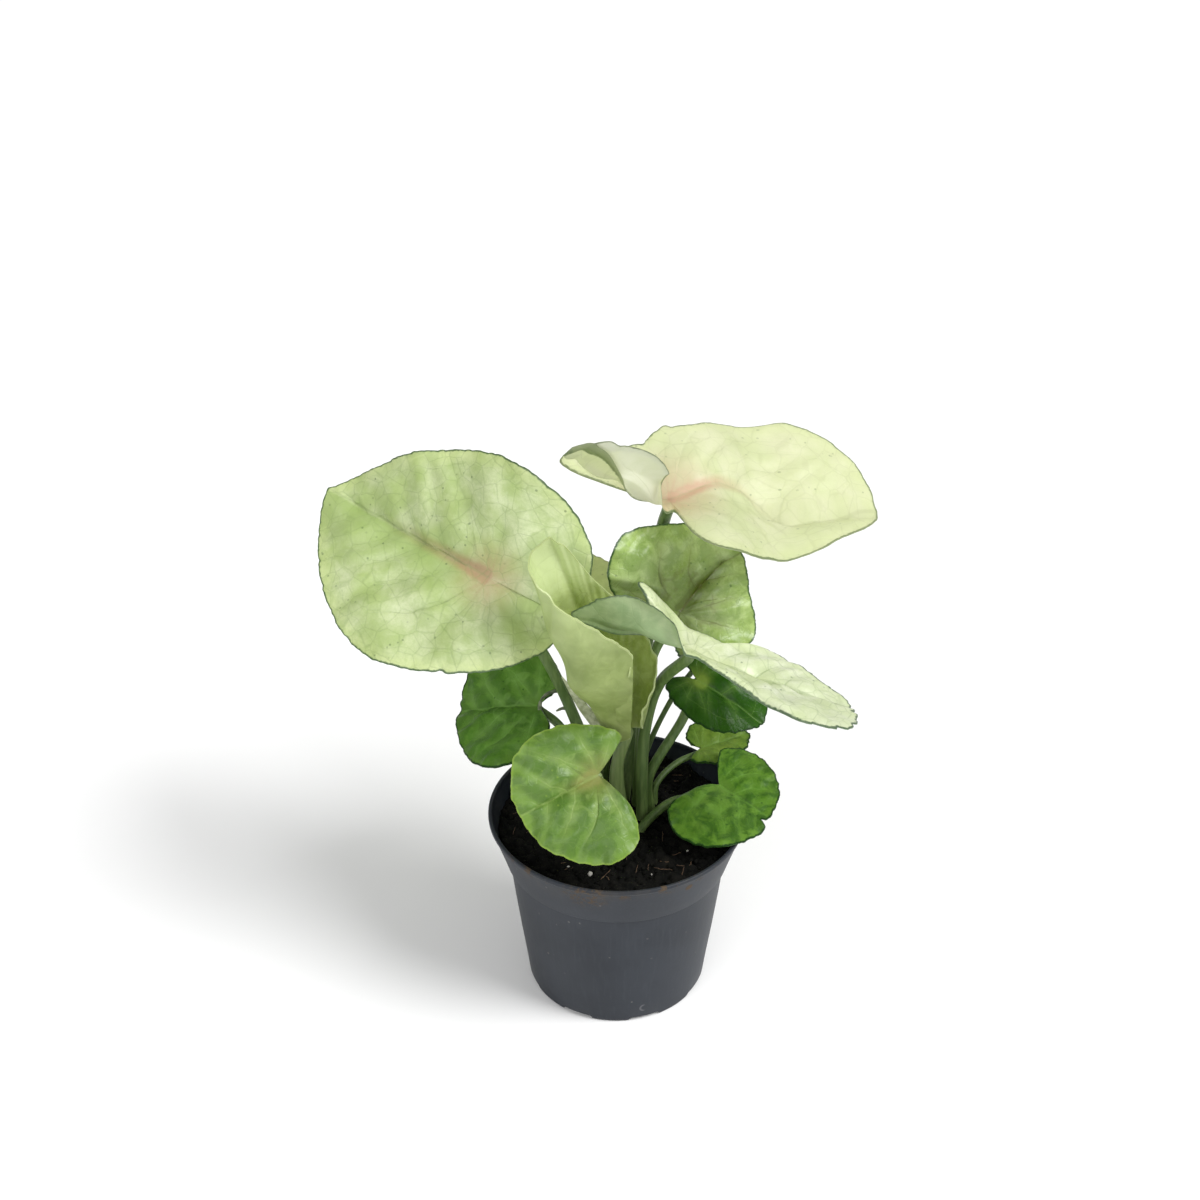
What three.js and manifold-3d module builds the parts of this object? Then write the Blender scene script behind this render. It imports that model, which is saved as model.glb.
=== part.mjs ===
import * as THREE from 'three';
import Module from 'manifold-3d';
import { mergeVertices } from 'three/addons/utils/BufferGeometryUtils.js';

const wasm = await Module();
wasm.setup();

// Sizes in millimetres, +Z up, origin at the centre of the pot's base.
const POT_HEIGHT = 59.1;
const RIM_RADIUS = 37.5;
const BASE_RADIUS = 26.3;
const COLLAR_FOOT = 43.8;
const WALL = 0.8;
const FLOOR = 2;
const NOTCHES = 8;
const NOTCH_WIDTH = 9;
const NOTCH_HEIGHT = 1.4;
const DRAIN_HOLES = 6;
const DRAIN_RADIUS = 2.5;
const SOIL_LEVEL = 53;
const FOOT_LEVEL = 46;
const GAP = 0.4;
const BLADE_THICKNESS = 0.7;

const BLACK_PLASTIC = new THREE.MeshStandardMaterial({ color: 0x2b2f36, roughness: 0.45, metalness: 0 });
const PEAT = new THREE.MeshStandardMaterial({ color: 0x1c1512, roughness: 1, metalness: 0 });
const CREAM = new THREE.MeshStandardMaterial({ color: 0xd5dfa6, roughness: 0.5, metalness: 0 });
const PALE_GREEN = new THREE.MeshStandardMaterial({ color: 0xb3c878, roughness: 0.5, metalness: 0 });
const LIGHT_GREEN = new THREE.MeshStandardMaterial({ color: 0x86b347, roughness: 0.5, metalness: 0 });
const MID_GREEN = new THREE.MeshStandardMaterial({ color: 0x5f9540, roughness: 0.45, metalness: 0 });
const DARK_GREEN = new THREE.MeshStandardMaterial({ color: 0x2f6b2c, roughness: 0.4, metalness: 0 });
const STALK_GREEN = new THREE.MeshStandardMaterial({ color: 0x8aab62, roughness: 0.5, metalness: 0 });

const object = new THREE.Group();
object.name = 'potted_roxanne_syngonium';

function place(name, geometry, material) {
  const mesh = new THREE.Mesh(geometry, material);
  mesh.name = name;
  object.add(mesh);
}

function toSolid(geometry) {
  const bare = new THREE.BufferGeometry();
  bare.setAttribute('position', geometry.getAttribute('position'));
  bare.setIndex(geometry.getIndex());
  const merged = mergeVertices(bare, 1e-4);
  const corners = merged.getIndex().array;
  const kept = [];
  for (let i = 0; i < corners.length; i += 3) {
    const [a, b, c] = [corners[i], corners[i + 1], corners[i + 2]];
    if (a !== b && b !== c && c !== a) kept.push(a, b, c);
  }
  return new wasm.Manifold(new wasm.Mesh({
    numProp: 3,
    vertProperties: new Float32Array(merged.getAttribute('position').array),
    triVerts: new Uint32Array(kept),
  }));
}

function toGeometry(solid) {
  const mesh = solid.getMesh();
  const geometry = new THREE.BufferGeometry();
  geometry.setAttribute('position', new THREE.BufferAttribute(new Float32Array(mesh.vertProperties), 3));
  geometry.setIndex(new THREE.BufferAttribute(new Uint32Array(mesh.triVerts), 1));
  return geometry;
}

function turned(profile, segments) {
  const points = profile.map(([r, z]) => new THREE.Vector2(r, z));
  return new THREE.LatheGeometry(points, segments).rotateX(Math.PI / 2);
}

function post(radius, x, y, bottom, top, sides = 20) {
  const geometry = new THREE.CylinderGeometry(radius, radius, top - bottom, sides);
  return geometry.rotateX(Math.PI / 2).translate(x, y, (top + bottom) / 2);
}

// Pot: a thin tapering wall, a step under the flared collar and a slim rounded lip.
let pot = toSolid(turned([
  [0, 0],
  [BASE_RADIUS - 1.2, 0],
  [BASE_RADIUS, 1.4],
  [BASE_RADIUS + 5.4, COLLAR_FOOT],
  [BASE_RADIUS + 6.3, COLLAR_FOOT + 0.2],
  [RIM_RADIUS - 0.45, POT_HEIGHT - 1.3],
  [RIM_RADIUS, POT_HEIGHT - 1.0],
  [RIM_RADIUS, POT_HEIGHT - 0.35],
  [RIM_RADIUS - 0.3, POT_HEIGHT],
  [RIM_RADIUS - 0.75, POT_HEIGHT],
  [RIM_RADIUS - 1.1, POT_HEIGHT - 0.4],
  [BASE_RADIUS + 5.5, COLLAR_FOOT + 0.7],
  [BASE_RADIUS + 5.4 - WALL, COLLAR_FOOT],
  [BASE_RADIUS - WALL + 0.1, FLOOR],
  [0, FLOOR],
], 72));

// Drainage: notches round the edge of the base and holes through the floor, clear of its centre.
for (let i = 0; i < NOTCHES; i += 1) {
  const turn = (i / NOTCHES) * 2 * Math.PI + THREE.MathUtils.degToRad(-117);
  const notch = new THREE.BoxGeometry(6, NOTCH_WIDTH, 2 * NOTCH_HEIGHT);
  notch.translate(BASE_RADIUS + 1, 0, 0).rotateZ(turn);
  pot = pot.subtract(toSolid(notch));
}
for (let i = 0; i < DRAIN_HOLES; i += 1) {
  const turn = (i / DRAIN_HOLES) * 2 * Math.PI;
  pot = pot.subtract(toSolid(post(DRAIN_RADIUS, 17 * Math.cos(turn), 17 * Math.sin(turn), -1, FLOOR + 1)));
}
place('pot', toGeometry(pot), BLACK_PLASTIC);

// A blade starts as a flat sheet: u runs from the petiole to the tip, v to its left and w up.
// A fold bends the sheet up, or down where its angle is negative, from the line through (u, v) across
// the heading. It can fade in along that line, and its radius can grow along it.
function foldSheet(point, { u, v, heading, radius, angle, fade, flare }) {
  const c = Math.cos(THREE.MathUtils.degToRad(heading));
  const s = Math.sin(THREE.MathUtils.degToRad(heading));
  const across = (point.x - u) * c + (point.y - v) * s;
  if (across <= 0) return;
  const along = (point.y - v) * c - (point.x - u) * s;
  const rate = fade ? THREE.MathUtils.smoothstep((along - fade[0]) / (fade[1] - fade[0]), 0, 1) : 1;
  const turn = THREE.MathUtils.degToRad(Math.abs(angle)) * rate;
  const side = Math.sign(angle);
  let r = radius;
  if (flare) r += flare[0] * THREE.MathUtils.clamp(along * Math.sign(flare[1]), 0, Math.abs(flare[1]));
  const t = Math.min(across / r, turn);
  const rest = Math.max(across - r * turn, 0);
  const lifted = r - side * point.z;
  const reach = lifted * Math.sin(t) + rest * Math.cos(t);
  const rise = side * (r - lifted * Math.cos(t) + rest * Math.sin(t));
  point.set(u + reach * c - along * s, v + reach * s + along * c, rise);
}

// Frame of a blade: its heading and slope as angles in degrees, and its roll about the midrib.
function bladeFrame([heading, slope, roll]) {
  const [h, e, r] = [heading, slope, roll].map(THREE.MathUtils.degToRad);
  const along = new THREE.Vector3(Math.cos(e) * Math.cos(h), Math.cos(e) * Math.sin(h), Math.sin(e));
  const level = new THREE.Vector3(0, 0, 1).addScaledVector(along, -along.z).normalize();
  const side = level.clone().cross(along);
  const up = level.clone().multiplyScalar(Math.cos(r)).addScaledVector(side, Math.sin(r));
  return { along, up, left: up.clone().cross(along) };
}

function onSheet(leaf, frame, u, v, w) {
  const point = new THREE.Vector3(u, v, w);
  for (const fold of leaf.folds) foldSheet(point, fold);
  return new THREE.Vector3(...leaf.at)
    .addScaledVector(frame.along, point.x)
    .addScaledVector(frame.left, point.y)
    .addScaledVector(frame.up, point.z);
}

// The margin runs from the sinus round the left lobe to the tip and back round the right lobe.
function margin(leaf, count) {
  const half = (side) => new THREE.SplineCurve([leaf.tip, ...side].map(([u, v]) => new THREE.Vector2(u, v)))
    .getSpacedPoints(count / 2);
  return [...half(leaf.left).reverse(), ...half(leaf.right).slice(1)];
}

// A blade is a fan of rows from the attachment to the margin, the same on both faces, closed round its edge.
function blade(leaf, count, rows) {
  const edge = margin(leaf, count);
  const frame = bladeFrame(leaf.pose);
  const positions = [];
  const [waves, height] = leaf.wave ?? [0, 0];
  for (const side of [0.5, -0.5]) {
    positions.push(...onSheet(leaf, frame, 0, 0, side * BLADE_THICKNESS).toArray());
    for (let row = 1; row <= rows; row += 1) {
      const k = (row / rows) ** 1.15;
      edge.forEach((p, j) => {
        const wave = height * k ** 3 * Math.sin((j / count) * waves * 2 * Math.PI);
        positions.push(...onSheet(leaf, frame, p.x * k, p.y * k, wave + side * BLADE_THICKNESS).toArray());
      });
    }
  }
  const width = edge.length;
  const lower = 1 + rows * width;
  const spot = (row, j) => (row === 0 ? 0 : 1 + (row - 1) * width + j);
  const faces = [];
  const both = (a, b, c) => faces.push(a, b, c, lower + a, lower + c, lower + b);
  const rim = (a, b) => faces.push(a, b, lower + a, b, lower + b, lower + a);
  for (let row = 0; row < rows; row += 1) {
    for (let j = 0; j < width - 1; j += 1) {
      const [a, b, c, d] = [spot(row, j), spot(row, j + 1), spot(row + 1, j + 1), spot(row + 1, j)];
      if (row > 0) both(a, b, c);
      both(a, c, d);
    }
    rim(spot(row, 0), spot(row + 1, 0));
    rim(spot(row + 1, width - 1), spot(row, width - 1));
  }
  for (let j = 0; j < width - 1; j += 1) rim(spot(rows, j), spot(rows, j + 1));
  const geometry = new THREE.BufferGeometry();
  geometry.setAttribute('position', new THREE.Float32BufferAttribute(positions, 3));
  geometry.setIndex(faces);
  return geometry;
}

// A petiole is a round stalk along a curve, drawn in towards its blade.
function stalk(points, foot, head, steps) {
  const path = new THREE.CatmullRomCurve3(points);
  const round = new THREE.Shape().absarc(0, 0, foot, 0, 2 * Math.PI);
  const geometry = new THREE.ExtrudeGeometry(round, {
    steps,
    curveSegments: 4,
    extrudePath: path,
  });
  const centres = path.getSpacedPoints(steps);
  const position = geometry.getAttribute('position');
  const point = new THREE.Vector3();
  for (let i = 0; i < position.count; i += 1) {
    point.fromBufferAttribute(position, i);
    const gaps = centres.map((centre) => centre.distanceTo(point));
    const nearest = gaps.indexOf(Math.min(...gaps));
    const scale = 1 + (head / foot - 1) * Math.min(1, (1.6 * nearest) / steps);
    point.sub(centres[nearest]).multiplyScalar(scale).add(centres[nearest]);
    position.setXYZ(i, point.x, point.y, point.z);
  }
  return geometry;
}

const keel = (angle, radius = 6) => [
  { u: 0, v: 0, heading: 90, radius, angle },
  { u: 0, v: 0, heading: -90, radius, angle },
];

// Each leaf: where the petiole meets the blade, the way the blade points, its folds and its two half
// outlines from the tip to the sinus, then its petiole: foot on the soil, points passed, two radii.
const LEAVES = [
  {
    name: 'leaf_left_large',
    at: [-35.2, 8, 132.6],
    pose: [149, 13, 49],
    folds: [
      ...keel(14),
      { u: 0, v: 0, heading: 0, radius: 60, angle: -10 },
      { u: 0, v: 0, heading: 180, radius: 30, angle: -22 },
    ],
    tip: [61, 0],
    left: [
      [58, 8], [51, 18], [41, 27], [28, 34], [14, 36], [2, 32], [-10, 25], [-20, 15], [-24.5, 7],
      [-24, 1.4], [-16, 0.65], [-9, 0.24], [-4, 0.04],
    ],
    right: [
      [50, -11], [38, -21], [24, -28], [10, -32], [-3, -31], [-14, -26], [-22, -19], [-25.5, -9],
      [-24.5, -1.45], [-16, -0.65], [-9, -0.24], [-4, -0.04],
    ],
    wave: [7, 0.8],
    material: CREAM,
    foot: [-5.4, 6.2],
    via: [[-5.8, 6.4, 65], [-11.6, 7.5, 83.7], [-19.7, 9, 104.2]],
    radii: [2, 1.6],
    size: [40, 8],
  },
  {
    name: 'leaf_top_right',
    at: [14, 22, 149.3],
    pose: [10, 2, -10],
    folds: [
      { u: 8, v: 0, heading: 0, radius: 14, angle: -38 },
      { u: 26, v: 0, heading: 0, radius: 14, angle: 30 },
      { u: 0, v: 0, heading: 90, radius: 8, angle: 16 },
      { u: 0, v: 0, heading: -90, radius: 8, angle: 6 },
      { u: -1, v: -1, heading: -92, radius: 2.5, angle: 88, fade: [0, -6] },
      { u: -3, v: 0, heading: 180, radius: 8, angle: 20 },
      { u: -3, v: 0, heading: 180, radius: 8, angle: 35, fade: [0, 3] },
    ],
    tip: [59, 0.5],
    left: [
      [59, 7], [56, 16], [48, 25], [36, 30], [22, 28.5], [11, 25.5], [2, 24], [-4, 20], [-14, 17],
      [-25, 14], [-31, 10], [-26, 5], [-14, 2.2], [-4, 0.5],
    ],
    right: [
      [54, -5], [44, -10.8], [33, -17.4], [20, -24], [9, -25.5], [3.5, -19], [1.5, -10], [0, -5.5],
      [-5, -8.5], [-14, -13], [-26, -14], [-36, -9], [-31, -4.8], [-18, -2], [-6, -0.3],
    ],
    wave: [6, 0.6],
    material: CREAM,
    foot: [1.8, 11],
    via: [[6.2, 19, 77.4], [9.9, 27, 113.5], [12.4, 28, 136.5]],
    radii: [2, 1.7],
    size: [44, 9],
  },
  {
    name: 'leaf_rolled',
    at: [2.3, 1.5, 86.3],
    pose: [196, 72.2, 104],
    folds: [
      { u: 0, v: 1.5, heading: 87.2, radius: 3, angle: 178.5, flare: [0.166, -30] },
      { u: 0, v: -1, heading: -107, radius: 2.5, angle: 131.5, flare: [0.2, 30] },
    ],
    tip: [70.3, 0],
    left: [
      [65.3, 14.5], [56.3, 22], [46.2, 32.2], [36.2, 36.8], [26.1, 35], [17.1, 30], [9, 24],
      [3, 16.5], [0.5, 6], [0, 2],
    ],
    right: [
      [65.3, -3.1], [56.3, -6.1], [46.2, -9.9], [36.2, -13.9], [26.1, -16.5], [17.1, -18.3],
      [9, -17.5], [3, -11], [0.5, -5], [0, -1.5],
    ],
    wave: [5, 0.4],
    material: PALE_GREEN,
    foot: [0.5, 3],
    via: [[-0.1, 1.5, 73.5]],
    radii: [4.2, 1.8],
    size: [44, 10],
  },
  {
    name: 'leaf_front_right',
    at: [19.8, -10, 120.9],
    pose: [-14, -19, 12],
    folds: [
      { u: 20, v: 0, heading: 0, radius: 40, angle: 8 },
      { u: 0, v: 0, heading: 90, radius: 8, angle: 8 },
      { u: 4, v: -4, heading: -117, radius: 5, angle: -75, fade: [-2, 6] },
      { u: -1, v: -1, heading: -88, radius: 3, angle: 95, fade: [0, -6] },
      { u: -2, v: 0, heading: 180, radius: 8, angle: -10, fade: [0, 3] },
      { u: -2, v: 0, heading: 180, radius: 8, angle: 28, fade: [0, -3] },
    ],
    tip: [47.5, -7],
    left: [
      [47, -1], [43.5, 4.5], [35, 9], [27, 14], [20, 17], [14.5, 14.5], [10, 10.5], [6, 9.5],
      [1, 9.5], [-5, 9], [-13, 10], [-20, 9], [-23, 5], [-16, 2], [-5, 0.3],
    ],
    right: [
      [47.5, -12], [42.5, -17.5], [33, -17.5], [23, -13], [13, -9], [7, -7.3], [2, -5], [-4, -9],
      [-12, -14], [-22, -15], [-33, -8], [-31, -4.6], [-18, -1.9], [-5, -0.15],
    ],
    wave: [6, 0.6],
    material: CREAM,
    foot: [7.2, 1.8],
    via: [[7.6, 3.8, 83.2], [11.4, 0.2, 102.4]],
    radii: [2, 1.6],
    size: [44, 9],
  },
  {
    name: 'leaf_middle_back',
    at: [17.3, 11, 119.6],
    pose: [60, 50, -35],
    folds: keel(12),
    tip: [25, -3],
    left: [
      [24, 6], [22, 12], [18.5, 19], [14, 24.3], [8, 25.5], [2, 24], [-2, 18], [-5, 10], [-6, 4],
      [-5, 0.9], [-2.5, 0.2],
    ],
    right: [
      [24, -8], [20, -12.5], [13, -16], [6, -20], [1.5, -22], [-3.2, -20.5], [-7, -14], [-7.5, -6],
      [-5.5, -0.9], [-2.5, -0.2],
    ],
    wave: [5, 0.8],
    material: MID_GREEN,
    foot: [5.8, 8.2],
    via: [[7, 8, 83], [9.9, 8, 107.2]],
    radii: [1.8, 1.4],
    size: [36, 7],
  },
  {
    name: 'leaf_back_left',
    at: [-5, 29, 111.4],
    pose: [112, 14, -6],
    folds: [
      ...keel(10),
      { u: 0, v: 0, heading: 0, radius: 60, angle: -15 },
    ],
    tip: [26, 0],
    left: [[22, 8], [14, 14], [4, 16], [-6, 13], [-10, 8], [-7, 3], [-3, 0.8]],
    right: [[22, -6.5], [14, -10.5], [4, -11.5], [-6, -9.5], [-10, -6.5], [-7, -2.5], [-3, -0.8]],
    wave: [4, 0.5],
    material: LIGHT_GREEN,
    foot: [-4.4, 11],
    via: [[-3.3, 15, 73], [-5.6, 22, 98]],
    radii: [1.5, 1.2],
    size: [28, 5],
  },
  {
    name: 'leaf_left_low',
    at: [-23.1, 10, 88.3],
    pose: [165, -9, 28],
    folds: [
      ...keel(10),
      { u: 0, v: 0, heading: 0, radius: 50, angle: -15 },
    ],
    tip: [26, -1],
    left: [[25, 6], [19, 16], [10, 22], [2, 20], [-4, 13], [-6, 8], [-3, 3]],
    right: [[26, -8], [20.5, -16], [10.5, -19.5], [1, -18], [-4, -13], [-6, -8], [-4, -3]],
    wave: [5, 0.6],
    material: DARK_GREEN,
    foot: [-8.8, 1.6],
    via: [[-9.4, 1.6, 71.5], [-16.2, 6, 83.7]],
    radii: [1.5, 1.2],
    size: [32, 6],
  },
  {
    name: 'leaf_front_low',
    at: [-5.6, -16.5, 83.6],
    pose: [200, -20, 47],
    folds: keel(8),
    tip: [24.5, -1],
    left: [
      [24, 6], [22, 12], [17, 18], [12, 22], [6, 24], [0, 22.5], [-3, 18.5], [-4, 12.5], [-3.2, 8],
      [-1.6, 3.2],
    ],
    right: [
      [24, -6], [21, -12], [18, -15.5], [12, -18], [4, -17.5], [-3, -14.5], [-8.5, -10.5],
      [-11, -6.8], [-7, -3.7], [-2.5, -1.2],
    ],
    wave: [6, 0.5],
    material: LIGHT_GREEN,
    foot: [-4.4, -4],
    via: [[-3.3, -7, 68.2]],
    radii: [1.5, 1.2],
    size: [36, 7],
  },
  {
    name: 'leaf_right_low',
    at: [29.6, 4, 64.4],
    pose: [-40, -10, -10],
    folds: keel(6),
    tip: [18.5, -2],
    left: [[18, 3], [15, 9.5], [8.5, 14], [-1, 15], [-7, 11], [-6, 7], [-3, 3]],
    right: [[20, -5], [18, -14], [14, -20], [7, -23.5], [0, -22.5], [-5, -17], [-5, -8], [-3, -3]],
    wave: [5, 0.4],
    material: DARK_GREEN,
    foot: [6, -4.2],
    via: [[15, 0, 60.9], [22.6, 3, 60.9]],
    radii: [1.5, 1.2],
    size: [32, 6],
  },
  {
    name: 'leaf_right_middle',
    at: [22.7, 12, 95.9],
    pose: [-25, -20, -22],
    folds: [
      ...keel(8, 8),
      { u: 6, v: 0, heading: 0, radius: 40, angle: -15 },
    ],
    tip: [23, 0],
    left: [[21, 6], [16, 11], [8, 14.5], [0, 13], [-6, 9], [-7, 4.5], [-4, 1.8]],
    right: [
      [19.6, -5.5], [14.2, -10.5], [6, -13], [-2, -11], [-6.4, -7.2], [-6.6, -3.8], [-4, -1.6],
    ],
    wave: [4, 0.5],
    material: DARK_GREEN,
    foot: [9.8, 5.4],
    via: [[9, 6, 65.1], [19.2, 10, 84.7]],
    radii: [1.7, 1.4],
    size: [32, 6],
  },
  {
    name: 'leaf_right_back',
    at: [25.2, 22, 64.4],
    pose: [20, 5, -10],
    folds: keel(10),
    tip: [16, 0],
    left: [[13, 5], [8, 9], [3, 9.5], [-1, 8], [-3, 5], [-2.5, 2]],
    right: [[13, -5], [8, -9], [3, -9], [-2, -7], [-5, -4], [-3.5, -1.5]],
    material: LIGHT_GREEN,
    foot: [11, 9.8],
    via: [[11.5, 12, 58.3], [17.3, 18, 61.5]],
    radii: [1.2, 0.9],
    size: [24, 4],
  },
  {
    name: 'leaf_back_small',
    at: [24.4, 24, 96],
    pose: [100, 5, 0],
    folds: keel(10),
    tip: [13, 0],
    left: [[10.5, 4], [6, 7], [0, 7], [-5, 5.5], [-6, 2.5], [-3, 0.8]],
    right: [[10.5, -4], [6, -7], [0, -7], [-5, -5.5], [-6, -2.5], [-3, -0.8]],
    material: DARK_GREEN,
    foot: [8.6, 13.2],
    via: [[7.6, 13.2, 65.2], [15.8, 21, 82.6]],
    radii: [0.9, 0.8],
    size: [24, 4],
  },
];

let soil = toSolid(turned([
  [0, FLOOR + GAP],
  [BASE_RADIUS - WALL - GAP, FLOOR + GAP],
  [BASE_RADIUS + 5.3 - WALL - GAP, COLLAR_FOOT],
  [BASE_RADIUS + 5.3 - GAP, COLLAR_FOOT + 1],
  [34.1, SOIL_LEVEL],
  [0, SOIL_LEVEL],
], 60));

for (const leaf of LEAVES) {
  const [x, y] = leaf.foot;
  const [foot, head] = leaf.radii;
  const { along, up } = bladeFrame(leaf.pose);
  const top = new THREE.Vector3(...leaf.at);
  if (leaf.name === 'leaf_rolled') top.addScaledVector(along, -1.4);
  else top.addScaledVector(up, -(BLADE_THICKNESS / 2 + GAP + head));
  const points = [
    new THREE.Vector3(x, y, FOOT_LEVEL),
    new THREE.Vector3(x, y, SOIL_LEVEL),
    ...leaf.via.map((p) => new THREE.Vector3(...p)),
    top,
  ];
  place(leaf.name, blade(leaf, ...leaf.size), leaf.material);
  place(leaf.name.replace('leaf', 'petiole'), stalk(points, foot, head, 11), STALK_GREEN);
  soil = soil.subtract(toSolid(post(foot + 0.9, x, y, FOOT_LEVEL - GAP, SOIL_LEVEL + 1)));
}
place('soil', toGeometry(soil), PEAT);

export default object;
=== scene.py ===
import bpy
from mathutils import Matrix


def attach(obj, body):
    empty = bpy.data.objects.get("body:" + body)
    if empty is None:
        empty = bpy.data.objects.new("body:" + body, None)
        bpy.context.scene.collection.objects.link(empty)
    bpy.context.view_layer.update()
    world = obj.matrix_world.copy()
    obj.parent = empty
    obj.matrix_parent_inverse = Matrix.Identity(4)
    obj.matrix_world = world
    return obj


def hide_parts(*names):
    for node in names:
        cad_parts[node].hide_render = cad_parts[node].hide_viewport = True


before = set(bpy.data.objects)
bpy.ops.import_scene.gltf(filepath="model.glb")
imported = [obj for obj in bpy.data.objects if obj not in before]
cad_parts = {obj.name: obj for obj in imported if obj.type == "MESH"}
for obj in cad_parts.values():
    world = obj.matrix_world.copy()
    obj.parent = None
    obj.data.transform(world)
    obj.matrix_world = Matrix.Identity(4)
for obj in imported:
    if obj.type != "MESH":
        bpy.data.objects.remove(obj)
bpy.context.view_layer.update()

import math

import bmesh
import bpy
import numpy as np
from mathutils import Vector, kdtree, noise

# Pot: one thermoformed nursery pot in slate-black polypropylene, drawn over a mould. It has a thin
# tapering wall, a step under the flared collar, a slim rolled lip, and notches and holes for drainage.

MM = 0.001
POT_HEIGHT, RIM_RADIUS, BASE_RADIUS, COLLAR_FOOT = 59.1, 37.5, 26.3, 43.8
WALL, FLOOR, FOOT_RING = 0.8, 2.0, 2.0
NOTCHES, NOTCH_WIDTH, NOTCH_HEIGHT = 8, 9.0, 1.4
FIRST_NOTCH, NOTCH_SIDE = -117, 0.8  # in degrees: the first one's place, and how far each side of one slopes
DRAIN_HOLES, DRAIN_RADIUS, DRAIN_CIRCLE = 6, 2.5, 17.0


class Wire:
    """A shader socket that takes part in Python expressions. Wire.tree is the node tree being drawn."""

    tree = None

    def __init__(self, socket):
        self.socket = socket

    @classmethod
    def node(cls, kind, settings=None, inputs=None, output=0):
        node = cls.tree.nodes.new(kind)
        for key, value in (settings or {}).items():
            setattr(node, key, value)
        for key, value in (inputs or {}).items():
            socket = node.inputs[key]
            if isinstance(value, Wire):
                cls.tree.links.new(value.socket, socket)
            elif value is not None:
                socket.default_value = value
        return cls(node.outputs[output])

    def math(self, operation, *others, first=None):
        values = [self, *others] if first is None else [first, self]
        return Wire.node("ShaderNodeMath", {"operation": operation}, dict(enumerate(values)))

    def __add__(self, other):
        return self.math("ADD", other)

    def __radd__(self, other):
        return self.math("ADD", other)

    def __sub__(self, other):
        return self.math("SUBTRACT", other)

    def __rsub__(self, other):
        return self.math("SUBTRACT", first=other)

    def __mul__(self, other):
        return self.math("MULTIPLY", other)

    def __rmul__(self, other):
        return self.math("MULTIPLY", other)

    def __abs__(self):
        return self.math("ABSOLUTE")

    def fade(self, start, end):
        """0 at start and 1 at end, smooth between."""
        return Wire.node(
            "ShaderNodeMapRange",
            {"interpolation_type": "SMOOTHSTEP"},
            {"Value": self, "From Min": start, "From Max": end},
        )

    def paint(self, under, over):
        """The colour under where this mask is 0, and over where it is 1."""
        colours = [(*c, 1) if isinstance(c, tuple) else c for c in (under, over)]
        return Wire.node(
            "ShaderNodeMix",
            {"data_type": "RGBA"},
            {0: self, 6: colours[0], 7: colours[1]},
            output=2,
        )

    def vector(self, operation, other, output=0):
        """Vector Math with a second vector, or with a number where the operation scales."""
        key = "Scale" if operation == "SCALE" else 1
        return Wire.node("ShaderNodeVectorMath", {"operation": operation}, {0: self, key: other}, output)

    def parts(self):
        split = Wire.node("ShaderNodeSeparateXYZ", inputs={0: self})
        return [Wire(socket) for socket in split.socket.node.outputs]


def grain(place, scale, detail=3.0, roughness=0.55, warp=0.0):
    inputs = {"Vector": place, "Scale": scale, "Detail": detail, "Roughness": roughness, "Distortion": warp}
    return Wire.node("ShaderNodeTexNoise", inputs=inputs)


def object_place():
    return Wire.node("ShaderNodeTexCoord", output=3)


def bump(height, strength, distance_mm):
    inputs = {"Height": height, "Strength": strength, "Distance": distance_mm * MM}
    return Wire.node("ShaderNodeBump", inputs=inputs)


def finish(name, draw):
    """A material. draw() returns its Principled inputs and, if thin, see_through as (share, colour)."""
    material = bpy.data.materials.new(name)
    material.use_nodes = True
    tree = Wire.tree = material.node_tree
    tree.nodes.clear()
    inputs = draw()
    glow = inputs.pop("see_through", None)
    surface = Wire.node("ShaderNodeBsdfPrincipled", inputs=inputs)
    if glow:
        share, colour = glow
        through = Wire.node("ShaderNodeBsdfTranslucent", inputs={"Color": (*colour, 1)})
        surface = Wire.node("ShaderNodeMixShader", inputs={0: share, 1: surface, 2: through})
    out = tree.nodes.new("ShaderNodeOutputMaterial")
    tree.links.new(surface.socket, out.inputs["Surface"])
    return material


def body(name, points_mm, faces, material, sharp=None):
    """A smooth piece from points in millimetres. Edges steeper than sharp, in degrees, stay sharp."""
    mesh = bpy.data.meshes.new(name)
    mesh.from_pydata((np.asarray(points_mm) * MM).tolist(), [], faces)
    mesh.shade_smooth()
    if sharp is not None:
        mesh.set_sharp_from_angle(angle=math.radians(sharp))
    mesh.materials.append(material)
    piece = bpy.data.objects.new(name, mesh)
    bpy.context.scene.collection.objects.link(piece)
    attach(piece, "root")
    return piece


def ring_faces(rings, sides):
    """Faces of a skin of rings with the same number of points each, its ends closed by one face each."""
    faces = []
    for i in range(rings - 1):
        for j in range(sides):
            a, b = i * sides + j, i * sides + (j + 1) % sides
            faces.append((a, b, b + sides, a + sides))
    faces.append(tuple(range(sides))[::-1])
    faces.append(tuple((rings - 1) * sides + j for j in range(sides)))
    return faces


FILLET_STEPS = 5


def rounded(profile):
    """A profile of (r, z, fillet) corners as a smooth list of (r, z)."""
    out = []
    for i, (r, z, fillet) in enumerate(profile):
        here = np.array((r, z))
        if not fillet or i in (0, len(profile) - 1):
            out.append((r, z))
            continue
        ends = []
        for other in (profile[i - 1][:2], profile[i + 1][:2]):
            way = np.array(other) - here
            length = np.linalg.norm(way)
            ends.append(here + way / length * min(fillet, length * 0.48))
        for k in range(FILLET_STEPS + 1):
            t = k / FILLET_STEPS
            out.append(tuple((1 - t) ** 2 * ends[0] + 2 * t * (1 - t) * here + t * t * ends[1]))
    return out


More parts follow.
